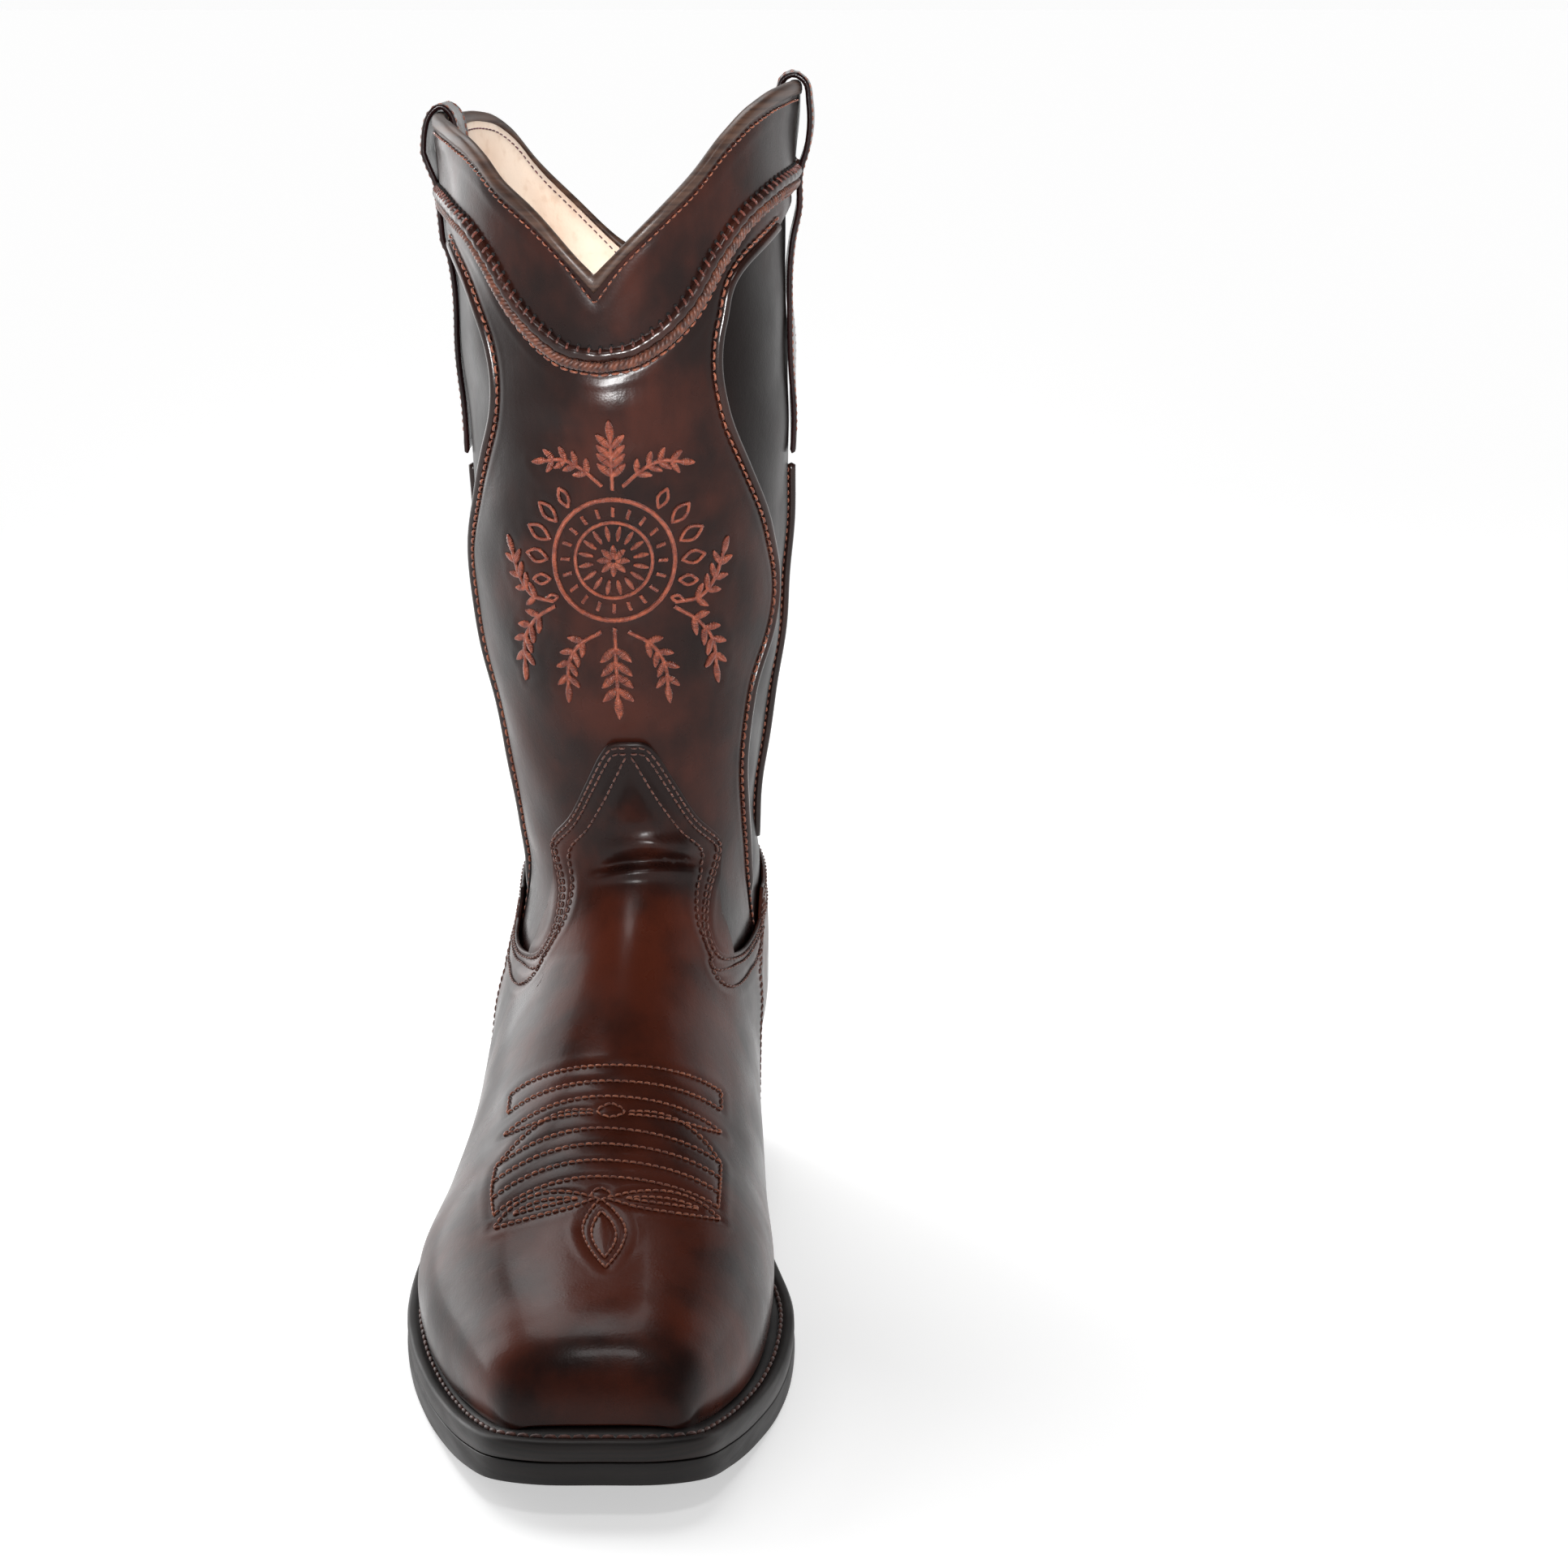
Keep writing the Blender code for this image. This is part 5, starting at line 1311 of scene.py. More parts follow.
def heel_hit(turn, z):
    """Surface point and normal straight out from the heel's upright axis; turn 0 looks back, + is medial."""
    direction = Vector((math.sin(turn), math.cos(turn), 0))
    place = None
    for rise in HEEL_SEARCH:
        if place is None:
            place, _, face, _ = SURFACE_TREE.ray_cast(Vector((*HEEL_AXIS, z + rise)), direction)
    if place is None:
        return None
    i, j = divmod(face, POINTS.shape[1] - 1)
    corners = [(i, j), (i, j + 1), (i + 1, j), (i + 1, j + 1)]
    near = np.array([1 / (.05 + np.linalg.norm(POINTS[c] - place)) for c in corners])
    normal = (np.array([NORMALS[c] for c in corners]) * near[:, None]).sum(0)
    return np.array(place), normal / np.linalg.norm(normal)


def heel_turns(points):
    """(turn, z) of points on the surface, as seen from the heel's axis."""
    turn = np.arctan2(points[:, 0] - HEEL_AXIS[0], points[:, 1] - HEEL_AXIS[1])
    return np.column_stack([turn, points[:, 2]])


def heel_bottom_z(turn):
    """Height at which the heel, seen along a turn, comes down to the clearance above the welt."""
    low, high = 15.0, 75.0
    for _ in range(14):
        middle = (low + high) / 2
        hit = heel_hit(turn, middle)
        if hit is None or hit[0][2] > middle or hit[0][2] - feather_z(hit[0][1]) < WELT_CLEARANCE:
            low = middle
        else:
            high = middle
    return high


def counter_edges(columns, rows):
    """Edges of the counter as (turn, z): top, bottom, medial seam, lateral seam."""
    seams = []
    for side in (1, -1):
        line = seam_curve(side, shift=.3, count=rows)
        seams.append(heel_turns(lookup(POINTS, line[:, 0], line[:, 1])))
    medial, lateral = seams
    u = np.linspace(seam_curve(1, shift=.3)[0, 1], 2 + seam_curve(-1, shift=.3)[0, 1], columns)
    z = curve_at(COUNTER_TOP, np.abs(1 - u))
    signed = wrapped(u)
    top = heel_turns(lookup(POINTS, t_at(signed, z), signed))
    top[0], top[-1] = medial[0], lateral[0]
    turns = np.linspace(medial[-1, 0], lateral[-1, 0], 160)
    fine = np.array([(turn, heel_bottom_z(turn) + .1) for turn in turns])
    places = np.array([heel_hit(turn, z)[0] for turn, z in fine])
    length = np.r_[0, np.cumsum(np.linalg.norm(np.diff(places, axis=0), axis=1))]
    even = np.linspace(0, length[-1], columns)
    bottom = np.column_stack([np.interp(even, length, fine[:, k]) for k in (0, 1)])
    bottom[0, 1], bottom[-1, 1] = medial[-1, 1], lateral[-1, 1]
    return top, bottom, medial, lateral


def soften(grid, rounds):
    """Evens out a grid of directions or points without moving its edge."""
    grid = grid.copy()
    for _ in range(rounds):
        grid[1:-1, 1:-1] = (grid[:-2, 1:-1] + grid[2:, 1:-1] + grid[1:-1, :-2] + grid[1:-1, 2:]) / 4
    return grid


def heel_surface(grid):
    hits = [[heel_hit(turn, z) for turn, z in row] for row in grid]
    points = np.array([[hit[0] for hit in row] for row in hits])
    normals = unit(soften(np.array([[hit[1] for hit in row] for row in hits]), 6))
    return points + normals * relief(points)[..., None], normals


def counter_tone(points):
    x, z = points[:, 0], points[:, 2]
    return .14 + .62 * np.exp(-((x - 8) / 22) ** 2) * smooth_step(134, 100, z) * smooth_step(44, 62, z)


COUNTER_COLUMNS = 171
COUNTER_ROWS = 96
COUNTER_TOP_SEAMS = (.012, .03, .085)
COUNTER_SIDE_SEAMS = (1.6, 3.6)


def grid_seam(points, normals, position, last):
    """Seam along a grid row at a fractional position, ending clear of the grid's own ends."""
    where = np.full(1, position)
    line, up = take_rows(points, where)[0], unit(take_rows(normals, where)[0])
    return line[3:last] + up[3:last] * COVER[1], up[3:last]


def counter():
    """Leather round the heel with its seams, and its lining."""
    top, bottom, medial, lateral = counter_edges(COUNTER_COLUMNS, COUNTER_ROWS)
    points, normals = heel_surface(coons(top, bottom, medial, lateral))
    rows = [grid_seam(points, normals, share * (COUNTER_ROWS - 1), -3) for share in COUNTER_TOP_SEAMS]
    upright_points, upright_normals = points.swapaxes(0, 1), normals.swapaxes(0, 1)
    for column in COUNTER_SIDE_SEAMS:
        for position in (column, COUNTER_COLUMNS - 1 - column):
            rows.append(grid_seam(upright_points, upright_normals, position, -2))
    shell("counter_leather", points, normals, COVER, "foot", ["counter_cover"], counter_tone,
          [line for line, _ in rows])
    lining = coons(top[::3], bottom[::3], medial[::3], lateral[::3])
    inner, up = heel_surface(lining[10:])
    shell("counter_lining_leather", inner, up, FOOT_LINING, "lining", ["counter_lining"])
    return rows


# ---- embroidery -------------------------------------------------------------------------------------------
MOTIF_CENTRE = 213.8
RING = 17.6
MOTIF_SHIFT = -0.012


def on_panel(x, z, back, offset=0.0):
    """Surface point for a place on the front or back panel, x in millimetres from its centre line."""
    level = t_at(np.full(np.shape(z), 1.0 if back else 0.0), z)
    half_turn = np.interp(level, LEVELS, HALF_TURN)
    u = np.asarray(x, float) / half_turn
    if back:
        u = -u
    surface_u = around(u + (0 if back else MOTIF_SHIFT), back)
    t = t_at(surface_u, z)
    return on_surface(t, surface_u, np.broadcast_to(offset, np.shape(surface_u))), normal_at(t, surface_u)


HALF_TURN = np.linalg.norm(np.diff(POINTS[:, U_HALF - 1:], axis=1), axis=2).sum(1)


def petal(start, end, width, bend=0.0):
    """Pointed leaf as (path, widths)."""
    start, end = np.array(start, float), np.array(end, float)
    share = np.linspace(0, 1, 15)
    side = np.array([-(end - start)[1], (end - start)[0]])
    path = start + np.outer(share, end - start) + np.outer(np.sin(share * math.pi) * bend, side)
    return path, .35 + width * np.sin(share * math.pi) ** .8


def outline_leaf(start, end, width, line=.75):
    """Two bowed threads' rows that meet in a point at both ends."""
    return [(petal(start, end, 0.0, bend)[0], np.full(15, line)) for bend in (width, -width)]


def stroke(points, width, smooth=True):
    points = np.asarray(points, float)
    path = smooth_path(points, 40) if smooth and len(points) > 2 else along_curve(points, 30)
    return path, np.full(len(path), float(width))


def circle(radius, width):
    angle = np.radians(np.linspace(0, 360, 90))
    path = radius * np.column_stack([np.cos(angle), np.sin(angle)])
    return path, np.full(90, float(width))


def polar(radius, degrees):
    return radius * math.cos(math.radians(degrees)), radius * math.sin(math.radians(degrees))


def medallion():
    """Ring with rays and a rosette."""
    shapes = [circle(RING, 1.25), circle(11.0, .9)]
    for k in range(16):
        turn = 22.5 * k + 11.25
        shapes.append(petal(polar(6.0, turn), polar(9.9, turn), 1.0))
    for k in range(8):
        shapes.append(petal(polar(.8, 45 * k), polar(4.4, 45 * k), 1.5))
    for k in range(20):
        turn = 18 * k
        shapes.append(stroke([polar(12.9, turn), polar(15.2, turn)], .9, False))
    return shapes


def branch(points, size):
    """Curved stem with pairs of leaves along it and one leaf at its tip."""
    path, widths = stroke(points, 1.0)
    shapes = [(path, widths)]
    for share in (.3, .5, .7, .9):
        k = int(share * (len(path) - 2))
        ahead = unit(path[k + 1] - path[k - 1])
        across = np.array([-ahead[1], ahead[0]])
        for side in (1, -1):
            shapes.append(petal(path[k], path[k] + size * (.7 * ahead + .75 * side * across), .38 * size))
    shapes.append(petal(path[-1], path[-1] + 1.2 * size * unit(path[-1] - path[-3]), .42 * size))
    return shapes


def both_sides(points):
    """The same row of places on the right and on the left of the centre line."""
    return [[(side * x, z) for x, z in points] for side in (1, -1)]


def wreath():
    """Outlined leaves round the sides of the ring."""
    shapes = []
    turns = (50, 33, 16, -1, -18, -34)
    reaches = (25.5, 27.0, 27.5, 27.0, 25.5, 23.5)
    for turn, reach in zip(turns, reaches):
        for root, tip in both_sides([polar(RING + 2.2, turn), polar(reach, turn + 3)]):
            shapes += outline_leaf(root, tip, .24)
    return shapes


def leaf_sprays():
    """Plain leafy stems above, beside and below the ring."""
    shapes = branch([(0, 20.5), (0, 27), (0, 34)], 5.0) + branch([(0, -20), (0, -29), (0, -40)], 5.6)
    stems = [([(3, 21.5), (9, 26.5), (14, 28.5), (19, 28)], 4.0),
             ([(17.8, -12.5), (25.5, -11.5), (31, -6), (33.2, 0)], 4.4),
             ([(17.5, -14), (24.5, -18.5), (29.5, -25), (30.5, -32)], 5.0),
             ([(4, -21), (10.5, -25), (14, -31), (14.5, -37)], 4.4)]
    for points, size in stems:
        for mirrored in both_sides(points):
            shapes += branch(mirrored, size)
    return shapes


THREAD_PITCH = 0.36
THREAD_RADIUS = 0.235
SATIN = np.array([(-1, -.16, .6), (-.62, .26, 1), (0, .38, 1), (.62, .26, 1), (1, -.16, .6)])


def satin(path, widths, back):
    """Centre lines and normals of the threads that cross a stroke."""
    count = max(4, int(length_of(path) / THREAD_PITCH))
    even = along_curve(np.column_stack([path, widths]), count)
    line, width = even[:, :2], even[:, 2]
    along = unit(np.gradient(line, axis=0))
    slant = along * .28
    across = unit(np.column_stack([-along[:, 1], along[:, 0]]) + slant)
    reach = width[:, None, None] / 2 * SATIN[None, :, :1]
    places = line[:, None] + across[:, None] * reach
    height = SATIN[None, :, 1] * np.minimum(1.15, .5 + .3 * width)[:, None]
    points, normals = on_panel(places[..., 0], MOTIF_CENTRE + places[..., 1], back, height)
    return points, normals[:, 2]


def embroidery(side_name, back):
    centres, ups = [], []
    for path, widths in medallion() + wreath() + leaf_sprays():
        points, normals = satin(path, widths, back)
        centres.append(points)
        ups.append(normals)
    centres, ups = np.concatenate(centres), np.concatenate(ups)
    jitter = RNG.normal(0, .03, (len(centres), 1, 3))
    strands(f"embroidery_{side_name}", centres + jitter, ups, SATIN[:, 2] * THREAD_RADIUS, "embroidery",
            5)
    return centres[::4, 2]


# ---- sole and heel ----------------------------------------------------------------------------------------
def half_runs(outline, count):
    """The outline as matching lateral and medial points, from the toe's tip to the heel's end."""
    first, last = outline[:, 1].argmin(), outline[:, 1].argmax()
    size = len(outline)
    lateral = outline[np.arange(first, last + (0 if last > first else size) + 1) % size]
    medial = outline[np.arange(last, first + (0 if first > last else size) + 1) % size][::-1]
    return along_curve(lateral, count), along_curve(medial, count)


def plate(name, outline, rings, material, nodes=(), count=150, fill=7):
    """Solid plate: rings are (inset, height by y) from the top face's edge round to the underside's."""
    lateral, medial = half_runs(outline, count)
    loop = np.vstack([lateral[:-1], medial[:0:-1]])
    outward = outward_2d(loop)
    size = len(loop)
    vertices = []
    for margin, height in rings:
        moved = loop - outward * margin
        vertices.append(np.column_stack([moved, height(moved[:, 1])]))
    faces = ring_faces(len(rings), size)
    total = len(rings) * size
    rows = len(lateral)
    for ring, turn in ((0, False), (len(rings) - 1, True)):
        edge = vertices[ring]
        height = rings[ring][1]
        left = [ring * size + i for i in range(rows)]
        right = [ring * size + (-i) % size for i in range(rows)]
        right[-1] = left[-1]
        grid = []
        inner = []
        for i in range(rows):
            row = [left[i]]
            a, b = edge[left[i] - ring * size], edge[right[i] - ring * size]
            if 0 < i < rows - 1:
                for k in range(1, fill):
                    spot = a + (b - a) * k / fill
                    inner.append((spot[0], spot[1], float(height(spot[1]))))
                    row.append(total)
                    total += 1
            row.append(right[i])
            grid.append(row)
        vertices.append(np.array(inner))
        for i in range(rows - 1):
            faces += strip(grid[i], grid[i + 1], turn)
    piece(name, np.vstack(vertices), faces, material, nodes)


def strip(upper, lower, turn):
    """Faces between two rows of points, where an end row may hold one point only."""
    faces = []
    upper, lower = list(dict.fromkeys(upper)), list(dict.fromkeys(lower))
    if len(upper) == 1 or len(lower) == 1:
        single, many = (upper[0], lower) if len(upper) == 1 else (lower[0], upper)
        for a, b in zip(many, many[1:]):
            faces.append((single, b, a) if len(upper) == 1 else (single, a, b))
    else:
        for k in range(len(upper) - 1):
            faces.append((upper[k], upper[k + 1], lower[k + 1], lower[k]))
    return [face[::-1] for face in faces] if turn else faces


def rounded(low, high, edge=.7, lean=0.0):
    """Rings of a plate whose side is slightly rounded, between two heights by y."""
    def level(share, nudge):
        return lambda y: low(y) * (1 - share) + high(y) * share + nudge
    return [(edge * 2.2, level(1, 0)), (edge, level(1, -.04)), (edge * .3, level(1, -edge * .35)),
            (0, level(1, -edge)), (-.12 + lean * .3, level(.62, 0)), (-.12 + lean * .6, level(.38, 0)),
            (lean, level(0, edge)), (lean + edge * .3, level(0, edge * .35)), (lean + edge, level(0, .04)),
            (lean + edge * 2.2, level(0, 0))]


BREAST_GAP = 0.1


def strip_runs(count):
    """Welt and rand paths along the sole edge, each from the lateral breast line to the medial one."""
    lateral, medial = half_runs(OUTSOLE, 400)
    front, back = HEEL_BREAST_Y - BREAST_GAP, HEEL_BREAST_Y + BREAST_GAP
    toe = np.vstack([lateral[lateral[:, 1] < front][::-1], medial[medial[:, 1] < front][1:]])
    heel = np.vstack([lateral[lateral[:, 1] > back], medial[medial[:, 1] > back][::-1][1:]])
    return along_curve(toe, count), along_curve(heel, count // 2)


def edge_strip(name, path, section, material, nodes):
    """Strip swept along the sole edge: section is (inward distance, height by y) round the strip."""
    along = unit(np.gradient(path, axis=0))
    inward = np.column_stack([-along[:, 1], along[:, 0]])
    centre = np.array([3.0, path[:, 1].mean()])
    if ((centre - path) * inward).sum() < 0:
        inward = -inward
    for _ in range(6):
        inward[1:-1] = unit(inward[:-2] + inward[1:-1] * 2 + inward[2:])
    rings = []
    for distance, height in section:
        moved = path + inward * distance
        rings.append(np.column_stack([moved, height(path[:, 1])]))
    rings = np.stack(rings, axis=1)
    vertices = rings.reshape(-1, 3)
    faces = outward_faces(vertices, swept_faces(*rings.shape[:2]))
    piece(name, vertices, faces, material, nodes)
    return inward


def outward_faces(points, faces):
    """Turns a closed body's faces outward, judged by its signed volume."""
    volume = 0.0
    for face in faces:
        a = points[face[0]]
        for b, c in zip(face[1:], face[2:]):
            volume += a @ np.cross(points[b], points[c])
    return faces if volume > 0 else [face[::-1] for face in faces]


def over_sole(rise):
    """Height by y, a set distance above the outsole's upper face."""
    return lambda y: outsole_top_z(y) + rise


def over_feather(rise):
    """Height by y, a set distance above the line where the upper meets the sole."""
    return lambda y: feather_z(y) + rise


WELT_WIDTH = 12.0
WELT_GAP = 0.06
WELT_STITCH_END = 60
RAND_WIDTH = 9
# Top of the welt from its edge inward, as (distance in, rise): a channel holds the stitches.
WELT_TOP = [(.05, -.8), (.45, -.2), (.9, -.02), (1.6, .02), (2.6, -.05), (3.3, -.55), (4.2, -.6),
            (4.9, -.1), (6.2, .1), (9.0, .1), (WELT_WIDTH, 0)]


def welt_section():
    """Corners of the welt from its low inner edge, round the outside, to its top inner edge."""
    low = over_sole(WELT_GAP)
    side = [(WELT_WIDTH, low), (.4, low), (.08, over_sole(WELT_GAP + .3)),
            (-.02, lambda y: (low(y) + feather_z(y)) / 2)]
    return side + [(distance, over_feather(rise)) for distance, rise in WELT_TOP]


def sole():
    plate("outsole_leather", OUTSOLE, rounded(underside_z, over_sole(-.05), .35), "sole",
          ["outsole"])
    toe, heel = strip_runs(420)
    inward = edge_strip("welt_strip", toe, welt_section(), "welt", ["welt"])
    line = np.column_stack([toe + inward * 3.75, feather_z(toe[:, 1]) - .38])
    keep = toe[:, 1] < WELT_STITCH_END
    up = np.broadcast_to((0.0, 0.0, 1.0), line.shape)
    stitches("welt_stitches", [(line[keep], up[keep])], "welt_thread", 3.6, 3.1, .52, .1)
    rand = [(RAND_WIDTH, over_sole(.3)), (.4, over_sole(.3)), (-.1, over_sole(.9)), (-.1, over_feather(-1.5)),
            (.5, over_feather(-.5)), (1.8, over_feather(.05)), (RAND_WIDTH, over_feather(0))]
    inward = edge_strip("heel_rand_strip", heel, rand, "rand", ["heel_rand"])
    bead = np.column_stack([heel + inward * .2, outsole_top_z(heel[:, 1]) + 2.0])
    side = np.column_stack([-inward, np.zeros(len(inward))])
    lathe_cord("heel_rand_bead", bead[2:-2], side[2:-2], .5, "rand", (), None, 8)


CAP_TOP = 6.0
LIFT_COUNT = 4
HEEL_TAPER = 3.6
HEEL_Y = (78.4, 143.2)


def heel_level(share, y):
    """Height of a joint in the heel stack: flat above the cap, parallel to the sole at the top."""
    return CAP_TOP + (underside_z(y) - .08 - CAP_TOP) * share


def heel_outline(z):
    """Closed outline of the heel at a height: narrower toward the ground, breast slightly hollow."""
    drop = np.clip(1 - z / 36.0, 0, 1)
    lateral, medial = half_runs(OUTSOLE, 400)
    run = np.vstack([lateral[lateral[:, 1] > HEEL_Y[0]], medial[medial[:, 1] > HEEL_Y[0]][::-1][1:]])
    share = np.clip((run[:, 1] - HEEL_Y[0]) / (HEEL_Y[1] - HEEL_Y[0]), 0, 1)
    low, high = HEEL_BREAST_Y + .4 + 2.0 * drop, 143.2 - 5.0 * drop
    x = run[:, 0] - HEEL_TAPER * drop * (1 - .2 * share) * np.tanh((run[:, 0] - 5) / 7)
    y = low + (high - low) * share
    sides = np.column_stack([x, y])
    breast_x = np.linspace(sides[-1, 0], sides[0, 0], 60)[1:-1]
    hollow = 2.2 * np.sin((breast_x - sides[0, 0]) / (sides[-1, 0] - sides[0, 0]) * math.pi)
    breast = np.column_stack([breast_x, low + hollow])
    return along_curve(np.vstack([sides, breast, sides[:1]]), 301)[:-1]


def slab(name, low, high, outline_low, outline_high, material, nodes, edge=.3):
    """Heel layer between two heights by y, with softly rounded edges."""
    rings = []
    for outline, height, nudge, margins in (
            (outline_high, high, -1, (edge * 3, edge, .0)), (outline_low, low, 1, (.0, edge, edge * 3))):
        for margin in margins:
            moved = inset(outline, margin)
            rise = nudge * max(0, edge - margin) if margin < edge else 0
            rings.append(np.column_stack([moved, height(moved[:, 1]) + rise]))
    size = len(outline_low)
    faces = ring_faces(len(rings), size)
    vertices = np.vstack(rings)
    for ring, height in ((0, high), (len(rings) - 1, low)):
        middle = rings[ring].mean(0)
        previous = np.arange(size) + ring * size
        for share in (.66, .33):
            inner = rings[ring] * share + middle * (1 - share)
            inner[:, 2] = height(inner[:, 1])
            start = len(vertices)
            vertices = np.vstack([vertices, inner])
            current = np.arange(size) + start
            quad = np.stack([previous, np.roll(previous, -1), np.roll(current, -1), current], -1)
            faces += (quad if ring else quad[:, ::-1]).tolist()
            previous = current
        hub = len(vertices)
        vertices = np.vstack([vertices, (middle[0], middle[1], float(height(middle[1])))])
        fan = [(int(a), int(b), hub) for a, b in zip(previous, np.roll(previous, -1))]
        faces += fan if ring else [face[::-1] for face in fan]
    piece(name, vertices, outward_faces(vertices, faces), material, nodes)


def heel():
    slab("heel_cap_rubber", lambda y: 0 * y, lambda y: 0 * y + CAP_TOP - .12, heel_outline(0.0),
         heel_outline(CAP_TOP), "rubber", ["heel_cap"], .5)
    for k in range(LIFT_COUNT):
        low, high = k / LIFT_COUNT, (k + 1) / LIFT_COUNT
        z_low, z_high = heel_level(low, 110.0), heel_level(high, 110.0)
        slab(f"heel_lift_{k + 1}_leather", lambda y, s=low: heel_level(s, y) + .02,
             lambda y, s=high: heel_level(s, y) - .06, heel_outline(z_low), heel_outline(z_high), "heel",
             [f"heel_lift_{k + 1}"], .16)


# ---- whole boot -------------------------------------------------------------------------------------------
def shaft():
    front_rows, back_rows = [], []
    for side_name, side in (("lateral", -1), ("medial", 1)):
        front_edge = EDGE_MEDIAL if side > 0 else EDGE_LATERAL
        front_rows.append(panel_trim(f"panel_cord_front_{side_name}", front_edge, side, False, 92.0))
        back_rows.append(panel_trim(f"panel_cord_back_{side_name}", EDGE_BACK, side, True, 102.0))
    front_rows.append(collar_trim("front", False))
    back_rows.append(collar_trim("back", True))
    front_lines = [line for line, _ in front_rows] + [embroidery("front", False)]
    back_lines = [line for line, _ in back_rows] + [embroidery("back", True)]
    shaft_panel("front", EDGE_LATERAL, EDGE_MEDIAL, front_low, False, front_lines)
    shaft_panel("back", EDGE_BACK, EDGE_BACK, back_low, True, back_lines)
    collar_rows, lining_rows, strap_rows, piping_rows = [], [], [], []
    for side_name, back in (("front", False), ("back", True)):
        collar_rows.append(collar(side_name, back))
        lining_rows.append(shaft_lining(side_name, back))
        top_binding(side_name, back)
    for side_name, side in (("lateral", -1), ("medial", 1)):
        side_panel(side_name, side)
        piping_rows += side_piping(side_name, side)
        strap_rows += pull_strap(side_name, side)
    stitches("panel_stitches", front_rows + back_rows, pitch=2.9, length=2.2, radius=.36, lift=.04)
    stitches("collar_stitches", collar_rows, pitch=2.3, length=1.6, radius=.24)
    stitches("lining_stitches", lining_rows, "purple", 2.3, 1.6, .22)
    stitches("strap_stitches", strap_rows, pitch=2.3, length=1.6, radius=.24, lift=-.2)
    stitches("side_stitches", piping_rows, pitch=2.3, length=1.6, radius=.22)


def foot():
    tongue, toe = tongue_seams(), toe_seams()
    vamp(tongue + toe)
    vamp_lining()
    counter_rows = counter()
    stitches("tongue_stitches", tongue, "faint_stitch", 2.3, 1.7, .27)
    stitches("toe_stitches", toe, "foot_stitch", 2.1, 1.7, .3)
    stitches("counter_stitches", counter_rows, "faint_stitch", 2.3, 1.7, .26)


NODE_LOOKS = {
    "toe_puff": "board", "heel_stiffener": "board", "insole_board": "board", "sock_liner": "lining",
    "steel_shank": "steel", "cork_filler": "cork",
}


def dress_nodes():
    """Materials for the CAD nodes that stay as they are."""
    for name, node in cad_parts.items():
        look = "brass" if name.startswith("heel_nail") else NODE_LOOKS.get(name)
        if look:
            node.data.materials.clear()
            node.data.materials.append(MATERIALS[look])


# ---- stage ------------------------------------------------------------------------------------------------
FLOOR_REACH = 400.0
FLOOR_GLOW = 0.50


def backdrop():
    mesh = bpy.data.meshes.new("floor")
    corners = [(-FLOOR_REACH, -FLOOR_REACH, 0), (FLOOR_REACH, -FLOOR_REACH, 0), (FLOOR_REACH, FLOOR_REACH, 0),
               (-FLOOR_REACH, FLOOR_REACH, 0)]
    mesh.from_pydata(corners, [], [(0, 1, 2, 3)])
    floor = bpy.data.objects.new("floor", mesh)
    bpy.context.scene.collection.objects.link(floor)
    n = Nodes("pale_floor")
    mesh.materials.append(n.finish(Base_Color=(.80, .80, .80, 1), Roughness=1.0, Specular_IOR_Level=0.0,
                                   Emission_Color=(1, 1, 1, 1), Emission_Strength=FLOOR_GLOW))


def lamp(name, kind, place, aim, power, **settings):
    data = bpy.data.lights.new(name, kind)
    data.energy = power
    for key, value in settings.items():
        setattr(data, key, value)
    made = bpy.data.objects.new(name, data)
    made.location = place
    made.rotation_mode = "QUATERNION"
    made.rotation_quaternion = (Vector(aim) - Vector(place)).to_track_quat("-Z", "Y")
    bpy.context.scene.collection.objects.link(made)


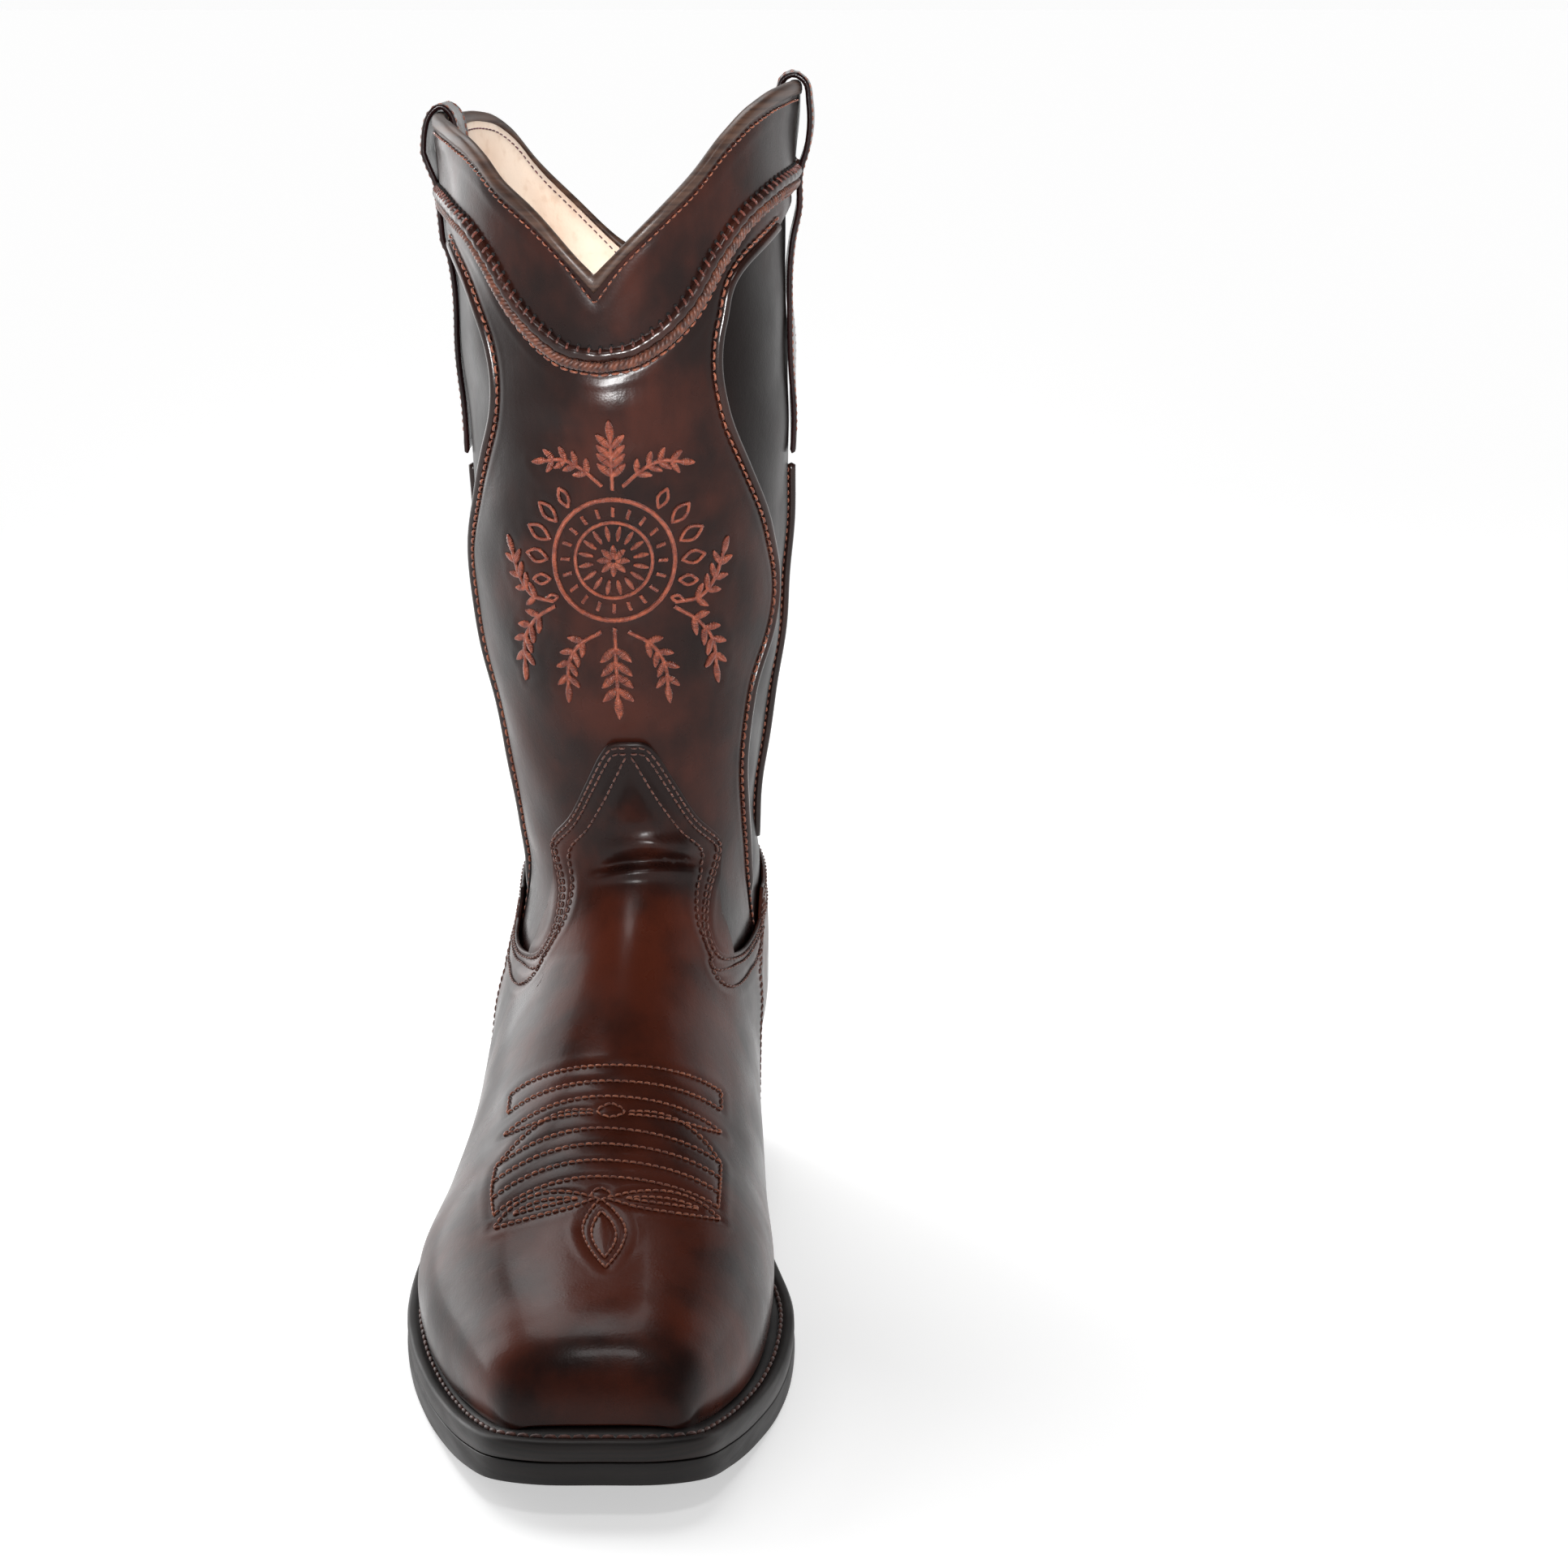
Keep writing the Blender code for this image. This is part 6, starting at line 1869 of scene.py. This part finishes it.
def area_light(name, place, aim, size, power, spread=1.9):
    lamp(name, "AREA", place, aim, power, shape="RECTANGLE", size=size[0], size_y=size[1], spread=spread)


def sky():
    """White near the horizon, so that it meets the floor, and darker overhead."""
    world = bpy.data.worlds.new("studio")
    world.use_nodes = True
    tree = world.node_tree
    up = tree.nodes.new("ShaderNodeSeparateXYZ")
    tree.links.new(tree.nodes.new("ShaderNodeTexCoord").outputs["Generated"], up.inputs[0])
    fade = tree.nodes.new("ShaderNodeMapRange")
    fade.interpolation_type = "SMOOTHSTEP"
    tree.links.new(up.outputs["Z"], fade.inputs["Value"])
    for key, value in (("From Min", .05), ("From Max", .58), ("To Min", .97), ("To Max", .10)):
        fade.inputs[key].default_value = value
    tree.links.new(fade.outputs["Result"], tree.nodes["Background"].inputs["Strength"])
    tree.nodes["Background"].inputs["Color"].default_value = (1, 1, 1, 1)
    bpy.context.scene.world = world


def lights():
    sky()
    aim = (0, 0, .15)
    lamp("overhead_sun", "SUN", (-.4, 1.4, 2.4), (0, 0, 0), 1.5, angle=math.radians(40))
    area_light("left_softbox", (-1.0, .75, .50), aim, (1.1, 1.1), 4.6)
    area_light("right_softbox", (1.05, .75, .50), aim, (.6, .9), .35)
    area_light("front_spot", (.05, -1.15, .56), (0, 0, .30), (.26, .16), .34, .38)
    area_light("top_spot", (.06, -.5, 1.1), (0, -.05, .05), (.3, .16), .55)


CAMERA_PLACE = (48.5, -841.1, 366.1)
CAMERA_PITCH = 14.347
CAMERA_LENS = 70.55


def camera():
    data = bpy.data.cameras.new("camera")
    data.sensor_width = 36.0
    data.lens = CAMERA_LENS
    data.clip_start, data.clip_end = .01, 100
    view = bpy.data.objects.new("camera", data)
    view.location = [(v + s) * MM for v, s in zip(CAMERA_PLACE, (*SHIFT, 0))]
    view.rotation_euler = (math.radians(90 - CAMERA_PITCH), 0, 0)
    bpy.context.scene.collection.objects.link(view)
    bpy.context.scene.camera = view


shaft()
foot()
sole()
heel()
dress_nodes()
backdrop()
lights()
camera()
bpy.context.scene.view_settings.view_transform = "Standard"
